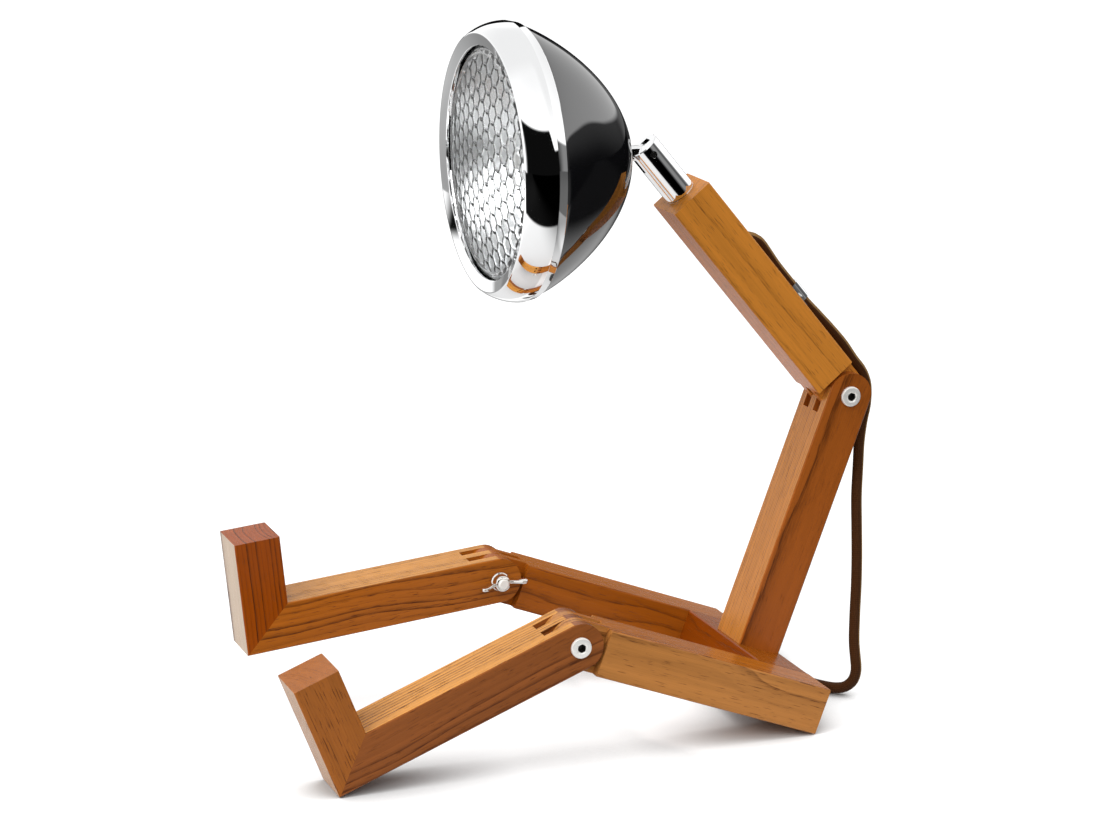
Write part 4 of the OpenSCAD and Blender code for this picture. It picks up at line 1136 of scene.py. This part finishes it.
@dataclass
class HingeHardware:
    """The flat-headed bolts and wing nuts of the waist and knees."""

    stick_w: float = 30.0
    bolt_r: float = 3.0
    head_r: float = 5.5
    head_h: float = 1.8
    socket_af: float = 4.0
    hub_h: float = 7.0
    span: float = 27.0
    wing_t: float = 1.8

    @staticmethod
    def swung(bm: BMesh) -> None:
        """Turns a spun mesh's axis from X to Y."""
        bmesh.ops.rotate(bm, verts=bm.verts[:], cent=(0, 0, 0), matrix=Matrix.Rotation(math.pi / 2, 3, "Z"))

    def bolt(self, name: str, place: Matrix, body: str) -> None:
        """Builds a bolt: head at -Y, shank along +Y.

        Args:
            name: The bolt's CAD node.
            place: The pivot's frame.
            body: The CAD body that it rides on.
        """
        end = self.stick_w / 2 + self.hub_h + 1
        face = -self.stick_w / 2
        top = face - self.head_h
        socket_r = self.socket_af / 2
        outline: Outline = [(0, top + 3), (socket_r, top + 3), (socket_r, top + 0.25), (socket_r + 0.3, top + 0.2)]
        outline += [(socket_r + 0.55, top + 0.42), (socket_r + 0.8, top + 0.2), (socket_r + 1.05, top + 0.02)]
        outline += [(self.head_r - 0.8, top)] + [
            (self.head_r - 0.8 + 0.8 * math.sin(a), top + 0.8 - 0.8 * math.cos(a))
            for a in (math.radians(k) for k in range(15, 91, 15))
        ]
        outline += [(self.head_r, face - 0.1), (self.head_r - 0.1, face), (self.bolt_r, face)]
        outline += [(self.bolt_r, end - 0.6), (self.bolt_r - 0.6, end), (0, end)]
        bm = spun(outline, 72, closed=False)
        painted_socket_shade = bm.verts.layers.float.new("painted_socket_shade")
        # mark the hex socket's faces for painted shade, and make the socket six-sided
        for vert in bm.verts:
            reach = math.hypot(vert.co.y, vert.co.z)
            if reach < socket_r + 0.1 and vert.co.x < top + 3.5:
                vert[painted_socket_shade] = 1.0
            if 0.1 < reach < socket_r + 0.05 and vert.co.x < top + 3.5:
                turn = math.atan2(vert.co.z, vert.co.y) % (math.pi / 3) - math.pi / 6
                grow = (socket_r / math.cos(turn)) / reach
                vert.co.y, vert.co.z = vert.co.y * grow, vert.co.z * grow
        self.swung(bm)
        finished(bm, name + "_turned", place, body, BOLT_NICKEL.material(), [name], 28.0)

    def wing_nut(self, name: str, place: Matrix, body: str) -> None:
        """Builds a wing nut that stands out along +Y from the stick.

        Args:
            name: The wing nut's CAD node.
            place: The pivot's frame, turned as the nut is.
            body: The CAD body that it rides on.
        """
        base, tip, half = self.bolt_r + 2.4, self.span / 2, self.wing_t / 2
        foot = self.stick_w / 2
        crown = self.bolt_r + 1.5
        outline: Outline = [(self.bolt_r + 0.05, 0.2), (self.bolt_r + 0.3, 0), (base - 0.2, 0), (base, 0.2)]
        outline += [(base, 1.3), (base - 0.25, 1.8), (base - 0.7, 2.2), (crown + 0.15, 4.0), (crown, 5.2)]
        outline += [(crown - 0.25, 6.2), (crown - 0.7, 6.8), (crown - 1.2, 7.0), (self.bolt_r + 0.05, 6.9)]
        bm = spun(outline, 64)
        wing = [(base - 1.4, 1.6), (base + 1.2, 2.0), (tip - 1.8, 4.6), (tip - 0.4, 5.8), (tip, 7.6), (tip - 0.4, 9.6)]
        wing += [(tip - 1.6, 10.8), (tip - 3.4, 10.6), (tip - 5.2, 8.8), (base + 0.2, 6.4), (base - 1.6, 5.6)]
        for side in (1, -1):
            leaf = bmesh.new()
            leaf.faces.new([leaf.verts.new((along, side * out, -half)) for out, along in wing])
            thickened(leaf, (0, 0, self.wing_t))
            bmesh.ops.recalc_face_normals(leaf, faces=leaf.faces[:])
            rounded(leaf, leaf.edges[:], 0.55, 3, clamp_overlap=True)
            joined(bm, leaf)
        self.swung(bm)
        bmesh.ops.translate(bm, verts=bm.verts[:], vec=(0, foot, 0))
        finished(bm, name + "_cast", place, body, NICKEL.material(), [name], 35.0)

    def build(self) -> None:
        """Builds the three bolts and the three wing nuts."""
        waist = FIGURE.waist().matrix()
        self.bolt("waist_bolt", waist, "seat_and_spine")
        self.wing_nut("waist_wing_nut", waist @ turning(25, "Y"), "waist_nut")
        for side, word, turn in ((-1, "left", 30), (1, "right", 0)):
            knee = FIGURE.knee(side).matrix()
            if side > 0:
                knee = knee @ Matrix.Scale(-1, 4, (0, 1, 0))
            self.bolt(f"{word}_knee_bolt", knee, f"{word}_lower_leg")
            self.wing_nut(f"{word}_knee_wing_nut", knee @ turning(turn, "Y"), f"{word}_knee_nut")


# ================= headlamp =================


@dataclass
class Headlamp:
    """The headlamp: chrome rim, lacquered shell, patterned lens and reflector."""

    apex_gap: float = 12.8
    head_depth: float = 79.3
    lip_r: float = 66.5
    crease_r: float = 72.2
    crease_depth: float = 16.2
    rim_depth: float = 21.2
    sheet: float = 1.0
    window_r: float = 60.0
    flange_depth: float = 1.9
    bell_power: float = 1.18
    bell_root: float = 0.487
    spigot_in: float = 7.0
    lens_t: float = 3.5
    lens_overlap: float = 3.5
    lens_seat: float = 3.2
    lens_dome: float = 4.0
    gasket_wall: float = 2.0
    holder_gap: float = 11.3
    bowl_neck_r: float = 13.0
    cell_pitch: float = 9.2
    cell_depth: float = 0.9
    cell_reach: float = 55.5
    seam_w: float = 2.2
    seam_line: float = 0.75
    edge_roll: float = 0.9
    cell_fade: float = 2.5
    stud_hole: float = 4.1
    turns: int = 256
    lens_turns: int = 420
    tongue_t: float = 4.8
    tongue_round: float = 1.9
    eye_r: float = 4.0
    eye_bore: float = 2.2
    stud_r: float = 4.0
    stud_in: float = 9.0

    def place(self) -> Matrix:
        """The lip's plane, with +X back towards the shell's apex."""
        return FIGURE.head().moved((-self.apex_gap - self.head_depth, 0, 0)).matrix()

    def keep(self, bm: BMesh, name: str, material: Material, node: str, sharp: float) -> None:
        """Finishes a piece that stands for one node of the head."""
        finished(bm, name, self.place(), "head", material, [node], sharp)

    def band(self, inset: float, steps: int) -> Outline:
        """Draws the rim's convex band from its lip to its crease.

        Args:
            inset: How far inside the outer face it runs.
            steps: How many steps it has.

        Returns:
            The band's corners.
        """
        rise = self.crease_r - self.lip_r
        radius = (self.crease_depth**2 + rise**2) / (2 * rise)
        depths = [self.crease_depth * i / steps for i in range(steps + 1)]
        return [
            (self.crease_r - radius + math.sqrt((radius - inset) ** 2 - (self.crease_depth - d) ** 2), d)
            for d in depths
        ]

    def rim(self) -> None:
        """Builds the chrome rim, with a rounded lip and a crisp crease."""
        outer, inner = self.band(0.0, 40), self.band(self.sheet, 20)
        lip = [(self.lip_r - 0.75, 0.16), (self.lip_r - 0.5, 0.06), (self.lip_r - 0.2, 0.06), (self.lip_r + 0.05, 0.22)]
        flange: Outline = [(self.window_r, self.flange_depth + 0.2), (self.window_r + 0.25, self.flange_depth - 0.05)]
        flange += [(self.window_r + 0.8, self.flange_depth - 0.24)]
        back = [(self.crease_r - 0.12, self.crease_depth + 0.25), (self.crease_r - 1, self.rim_depth - 0.3)]
        back += [(self.crease_r - 1.3, self.rim_depth), (self.crease_r - 1 - self.sheet, self.rim_depth)]
        outline = flange + lip + outer[1:] + back + inner[:0:-1] + [(self.window_r, self.flange_depth + self.sheet)]
        bm = spun(outline, self.turns)
        self.keep(bm, "rim_spun", CHROME.material(), "rim_ring", 24.0)

    def bell(self, inset: float, steps: int) -> Outline:
        """Draws the shell's bell curve from the rim to its apex.

        Args:
            inset: How far inside the outer face it runs.
            steps: How many steps it has.

        Returns:
            The curve's corners.
        """
        shell_r = self.crease_r - self.sheet - 0.9
        points = []
        for i in range(steps + 1):
            u = math.sin(math.pi / 2 * i / steps)
            depth = self.rim_depth + (self.head_depth - inset - self.rim_depth) * u
            points.append(((shell_r - inset) * max(0.0, 1 - u**self.bell_power) ** self.bell_root, depth))
        return points

    def shell(self) -> None:
        """Builds the black shell, with the hole for the knuckle's stud at its apex."""
        spigot = self.crease_r - 1 - self.sheet - 0.1
        hole = self.stud_hole
        outer = [p for p in self.bell(0.0, 96) if p[0] > hole + 0.3]
        inner = [p for p in self.bell(self.sheet, 48) if p[0] > hole + 0.3]
        outline = [(spigot, self.rim_depth - self.spigot_in), (spigot, self.rim_depth)] + outer
        outline += [(hole, self.head_depth - 0.05), (hole, self.head_depth - self.sheet - 0.05)] + inner[::-1][:-1]
        outline += [(spigot - self.sheet, self.rim_depth + 0.6), (spigot - self.sheet, self.rim_depth - self.spigot_in)]
        bm = spun(outline, self.turns)
        self.keep(bm, "shell_spun", LACQUER.material(), "head_shell", 30.0)

    def seam(self, y: float, z: float) -> float:
        """Measures how far a point of the lens is from the nearest seam between two cells.

        Args:
            y: The point's place across the lamp.
            z: Its height above the lens's middle.

        Returns:
            The distance, in millimetres.
        """
        pitch = self.cell_pitch
        column = pitch * math.sqrt(3) / 2
        near = round(y / column)
        away = []
        for i in (near - 1, near, near + 1):
            shift = 0.5 * pitch if i % 2 else 0.0
            j = round((z - shift) / pitch)
            away += [(y - i * column) ** 2 + (z - shift - k * pitch) ** 2 for k in (j - 1, j, j + 1)]
        first, second = sorted(away)[:2]
        return (second - first) / (2 * pitch)

    def lens(self) -> None:
        """Builds the lens: a smooth domed front and a back pressed into round cells."""
        edge = self.window_r + self.lens_overlap
        ball = (self.window_r**2 + self.lens_dome**2) / (2 * self.lens_dome)
        lift = self.lens_seat - self.lens_dome + ball

        def dome(radius: float, back: float) -> float:
            """The dome's depth at a radius."""
            return lift + back - math.sqrt(ball * ball - radius * radius)

        def roll(radius: float) -> float:
            """How far the front rolls in towards its edge."""
            t = max(0.0, min(1.0, (radius - self.cell_reach - 0.6) / 2.2))
            return self.edge_roll * t * t * (3 - 2 * t)

        radii = [self.window_r * i / 20 for i in range(18)] + [self.window_r * i / 90 for i in range(78, 91)]
        front = [(r, min(dome(r, 0) + roll(r), self.lens_seat + 0.9)) for r in radii]
        rear = [(self.window_r * i / 130, dome(self.window_r * i / 130, self.lens_t)) for i in range(130, -1, -1)]
        outline = front + [(edge, self.lens_seat), (edge, self.lens_seat + self.lens_t)] + rear
        bm = spun(outline, self.lens_turns, closed=False)
        tint = bm.verts.layers.float.new("seam")
        for vert in bm.verts:
            reach = math.hypot(vert.co.y, vert.co.z)
            if reach < self.cell_reach and vert.co.x > dome(reach, 0) + 1.0:
                fade = min(1.0, (self.cell_reach - reach) / self.cell_fade)
                away = self.seam(vert.co.y, vert.co.z)
                swell = min(1.0, away / self.seam_w)
                dip = 1 - math.sqrt(1 - (1 - swell) ** 2)
                vert.co.x -= self.cell_depth * fade * dip
                vert[tint] = fade * max(0.0, 1 - away / self.seam_line)
        self.keep(bm, "lens_pressed", PressedGlass().material(), "lens", 60.0)

    def reflector(self) -> None:
        """Builds the reflector's smooth bowl, flange and collar."""
        lens_back = self.lens_seat + self.lens_t
        gasket_back = lens_back + self.gasket_wall
        bowl_front = gasket_back + self.sheet
        collar = self.head_depth - self.holder_gap - 13
        apex, bowl_r, edge = collar - 1, self.window_r - 2, self.window_r + self.lens_overlap
        four_f = bowl_r * bowl_r / (apex - bowl_front)
        radii = [bowl_r + (self.bowl_neck_r - bowl_r) * i / 60 for i in range(61)]
        inside = [(r, apex - r * r / four_f) for r in radii]
        outside = [(r + self.sheet, apex - r * r / four_f + 0.4) for r in radii]
        outline = [(bowl_r, gasket_back + 0.1)] + inside
        outline += [(self.bowl_neck_r, collar), (self.bowl_neck_r + self.sheet, collar)]
        outline += outside[::-1] + [(edge, bowl_front + 0.4), (edge, gasket_back + 0.1)]
        bm = spun(outline, self.turns)
        self.keep(bm, "reflector_spun", BRIGHT_ALUMINIUM.material(), "reflector", 35.0)

    def knuckle(self) -> None:
        """Builds the chrome knuckle: an eye about the tilt pin, a rounded arm, a flange and a hollow stud."""
        back = self.head_depth + self.apex_gap
        half, eye_r, bore = self.tongue_t / 2, self.eye_r, self.eye_bore
        bm = bmesh.new()
        rim = arc((back, 0.0), eye_r, -90, 90, 28)
        near = self.head_depth + 0.8
        bm.faces.new([bm.verts.new((along, -half, up)) for along, up in [(near, -eye_r), *rim, (near, eye_r)]])
        thickened(bm, (0, self.tongue_t, 0))
        bmesh.ops.recalc_face_normals(bm, faces=bm.faces[:])
        rails = [e for e in bm.edges if abs(e.verts[0].co.y - e.verts[1].co.y) < 1e-6]
        rounded(bm, rails, self.tongue_round, 6)
        profile = [(0, 0), (6.2, 0), (7.0, 0.15), (6.9, 0.7), (5.9, 1.5), (5.2, 1.6), (0, 1.6)]
        flange: Outline = [(radius, self.head_depth + along) for radius, along in profile]
        front = self.head_depth - self.stud_in
        stud: Outline = [(bore, front), (self.stud_r - 0.3, front), (self.stud_r, front + 0.3)]
        stud += [(self.stud_r, self.head_depth + 0.4), (bore, self.head_depth + 0.4)]
        for outline in (flange, stud):
            part = spun(outline, 64)
            bmesh.ops.recalc_face_normals(part, faces=part.faces[:])
            joined(bm, part)
        self.keep(bm, "knuckle_forged", CHROME.material(), "head_knuckle", 30.0)

    def build(self) -> None:
        """Builds the headlamp's pieces, and dresses the CAD nodes inside it."""
        self.knuckle()
        self.rim()
        self.shell()
        self.lens()
        self.reflector()
        dressed(FROSTED.material(), "bulb_glass")
        dressed(SEAL_RUBBER.material(), "lens_gasket")
        dressed(HOLDER_PLASTIC.material(), "lamp_holder", "cord_grip")
        dressed(NICKEL.material(), "lens_clips", "bulb_cap", "holder_ring", "knuckle_washer", "knuckle_nut")
        dressed(LEAD_SHEATH.material(), "head_lead", "torso_lead")


# ================= neck, clip, switch and plug =================


class SmallParts:
    """The CAD nodes that keep their shape and get a finish."""

    def dress(self) -> None:
        """Gives the neck, clip, switch and plug their finishes."""
        dressed(CHROME.material(), "neck_post", "cord_clip")
        dressed(NICKEL.material(), "neck_nipple", "neck_washer", "tilt_pin", "plug_pins")
        dressed(SWITCH_PLASTIC.material(), "switch_base", "switch_cover", "switch_rocker", "plug_body")
        dressed(BRASS.material(), "switch_contacts")


# ================= studio =================


@dataclass(frozen=True)
class Studio:
    """A white table and room: bright above and behind, dark in front where the camera stands."""

    floor_size: float = 14.0
    table_edge: float = 0.345
    dark: float = 0.004
    overhead: float = 1.0
    white: float = 0.56
    seen_white: float = 0.40
    open_glow: float = 0.74
    shadow_reach: float = 0.06

    def surround(self) -> None:
        """Makes the world: plain white to the camera, and the room's light and dark to the lamp."""
        world = bpy.data.worlds.new("studio")
        bpy.context.scene.world = world
        world.use_nodes = True
        graph = Graph(world.node_tree)
        graph.tree.nodes.clear()
        way = graph.add("SeparateXYZ", Vector=graph.add("TexCoord").outputs["Generated"]).outputs
        front = graph.span(way["X"], 0.06, 0.24, 0.53, 0.27)
        raised = graph.times(graph.span(way["Y"], 0.72, 0.92), graph.span(way["X"], 0.0, 0.25, 0.0, 0.3))
        rear = graph.plus(graph.math("MULTIPLY_ADD", way["Y"], -0.30, 0.26), raised)
        side = graph.span(way["Y"], -0.15, 0.3)
        edge = graph.math("MULTIPLY_ADD", side, graph.minus(rear, front), front)
        above = graph.minus(way["Z"], edge)
        soft = graph.span(above, -0.015, 0.025)
        left = graph.span(way["X"], -0.76, -0.83)
        bright = graph.math("MAXIMUM", soft, left)
        path = graph.add("LightPath").outputs
        seen = graph.math("MAXIMUM", path["Is Glossy Ray"], path["Is Transmission Ray"])
        slope = graph.span(above, 0.0, 0.7, 0.25, -0.08)
        full = graph.math("MULTIPLY_ADD", seen, slope, self.overhead)
        strip = graph.times(graph.span(way["X"], 0.45, 0.62), graph.span(way["X"], 0.74, 0.86, 0.24, 0.0))
        haze = graph.times(graph.span(way["X"], 0.74, 0.9, 0.0, 0.12), graph.span(above, -0.3, 0.0))
        dim = graph.plus(graph.plus(strip, haze), self.dark)
        level = graph.math("MULTIPLY_ADD", bright, graph.minus(full, dim), dim)
        strength = graph.math("MAXIMUM", level, path["Is Camera Ray"])
        glow = graph.add("Background", Color=(1.0, 1.0, 1.0, 1.0), Strength=strength)
        graph.add("OutputWorld", Surface=glow.outputs[0])

    def table(self) -> None:
        """Makes the white floor, which keeps the lamp's shadow."""
        bm = bmesh.new()
        bmesh.ops.create_grid(bm, x_segments=1, y_segments=1, size=self.floor_size / 2)
        bmesh.ops.translate(bm, verts=bm.verts[:], vec=(0, 0, -0.0004))
        mesh = settled(bm, "table")
        shown("table", mesh)
        material = bpy.data.materials.new("table_white")
        material.use_nodes = True
        graph = Graph(material.node_tree)
        graph.tree.nodes.clear()
        way = graph.add("SeparateXYZ", Vector=graph.add("TexCoord").outputs["Object"]).outputs
        forward = graph.times(way["Y"], -1.0)
        near = graph.span(forward, self.table_edge - 0.01, self.table_edge + 0.02, 1.0, 0.006)
        away = graph.math("MULTIPLY_ADD", way["Y"], -0.9, way["X"])
        right = graph.span(away, 0.12, 0.6, 1.0, 0.02)
        ratio = graph.math("DIVIDE", way["X"], graph.math("MAXIMUM", forward, 0.05))
        wedge = graph.times(graph.span(ratio, 0.45, 0.65), graph.span(ratio, 1.3, 2.0, 0.4, 0.0))
        right = graph.plus(right, wedge)
        depth = graph.math("MULTIPLY_ADD", graph.span(way["X"], -0.1, 0.25), 0.28, 0.64)
        back = graph.minus(1.0, graph.times(graph.span(way["Y"], 0.3, 0.8), depth))
        near = graph.math("MAXIMUM", near, wedge)
        level = graph.times(graph.times(near, right), back)
        path = graph.add("LightPath").outputs
        level = graph.math("MAXIMUM", level, path["Is Camera Ray"])
        colour = graph.mix(path["Is Camera Ray"], (*[self.white] * 3, 1), (*[self.seen_white] * 3, 1))
        matte = graph.add("BsdfDiffuse", Color=graph.shaded(colour, level))
        seen = graph.math("MAXIMUM", path["Is Glossy Ray"], path["Is Transmission Ray"])
        lens_side = graph.span(graph.times(way["X"], -1.0), 0.25, 0.6, 0.1, 0.5)
        lift = graph.times(graph.times(seen, lens_side), level)
        under = graph.add("AmbientOcclusion", Distance=self.shadow_reach)
        open_white = graph.times(graph.span(under.outputs["AO"], 0.3, 0.9), self.open_glow)
        lift = graph.math("MULTIPLY_ADD", open_white, path["Is Camera Ray"], lift)
        glow = graph.add("Emission", Color=(1.0, 1.0, 1.0, 1.0), Strength=lift)
        both = graph.add("AddShader")
        graph.put(matte.outputs[0], both.inputs[0])
        graph.put(glow.outputs[0], both.inputs[1])
        graph.add("OutputMaterial", Surface=both.outputs[0])
        mesh.materials.append(material)

    def lamp(self, name: str, at: Point, size: float, energy: float) -> None:
        """Adds one soft lamp, turned to the figure and unseen in its gloss.

        Args:
            name: The lamp's name.
            at: Its place, in metres.
            size: Its width, in metres.
            energy: Its power, in watts.
        """
        data = bpy.data.lights.new(name, "AREA")
        data.size, data.energy = size, energy
        lamp = shown(name, data)
        turn = (Vector(at) - Vector((0, 0, 0.15))).to_track_quat("Z", "Y")
        lamp.matrix_world = Matrix.Translation(at) @ turn.to_matrix().to_4x4()
        lamp.visible_glossy = False

    def lamps(self) -> None:
        """Adds the lamps: one from the upper left and a fill from the front."""
        self.lamp("left_lamp", (-1.3, -0.3, 1.2), 1.1, 18.0)
        self.lamp("front_lamp", (-0.5, -2.0, 1.5), 1.4, 24.0)

    def set_up(self) -> None:
        """Sets the view and makes the room."""
        bpy.context.scene.view_settings.view_transform = "Standard"
        self.surround()
        self.table()
        self.lamps()


def main() -> None:
    """Builds the camera, the cord, the lamp and the studio, in that order."""
    logging.basicConfig(level=logging.INFO, format="%(message)s")
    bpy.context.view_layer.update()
    Viewpoint().place()
    TextileCord().build()
    WoodenFigure().dress()
    HingeHardware().build()
    Headlamp().build()
    SmallParts().dress()
    Studio().set_up()


if __name__ == "__main__":
    main()
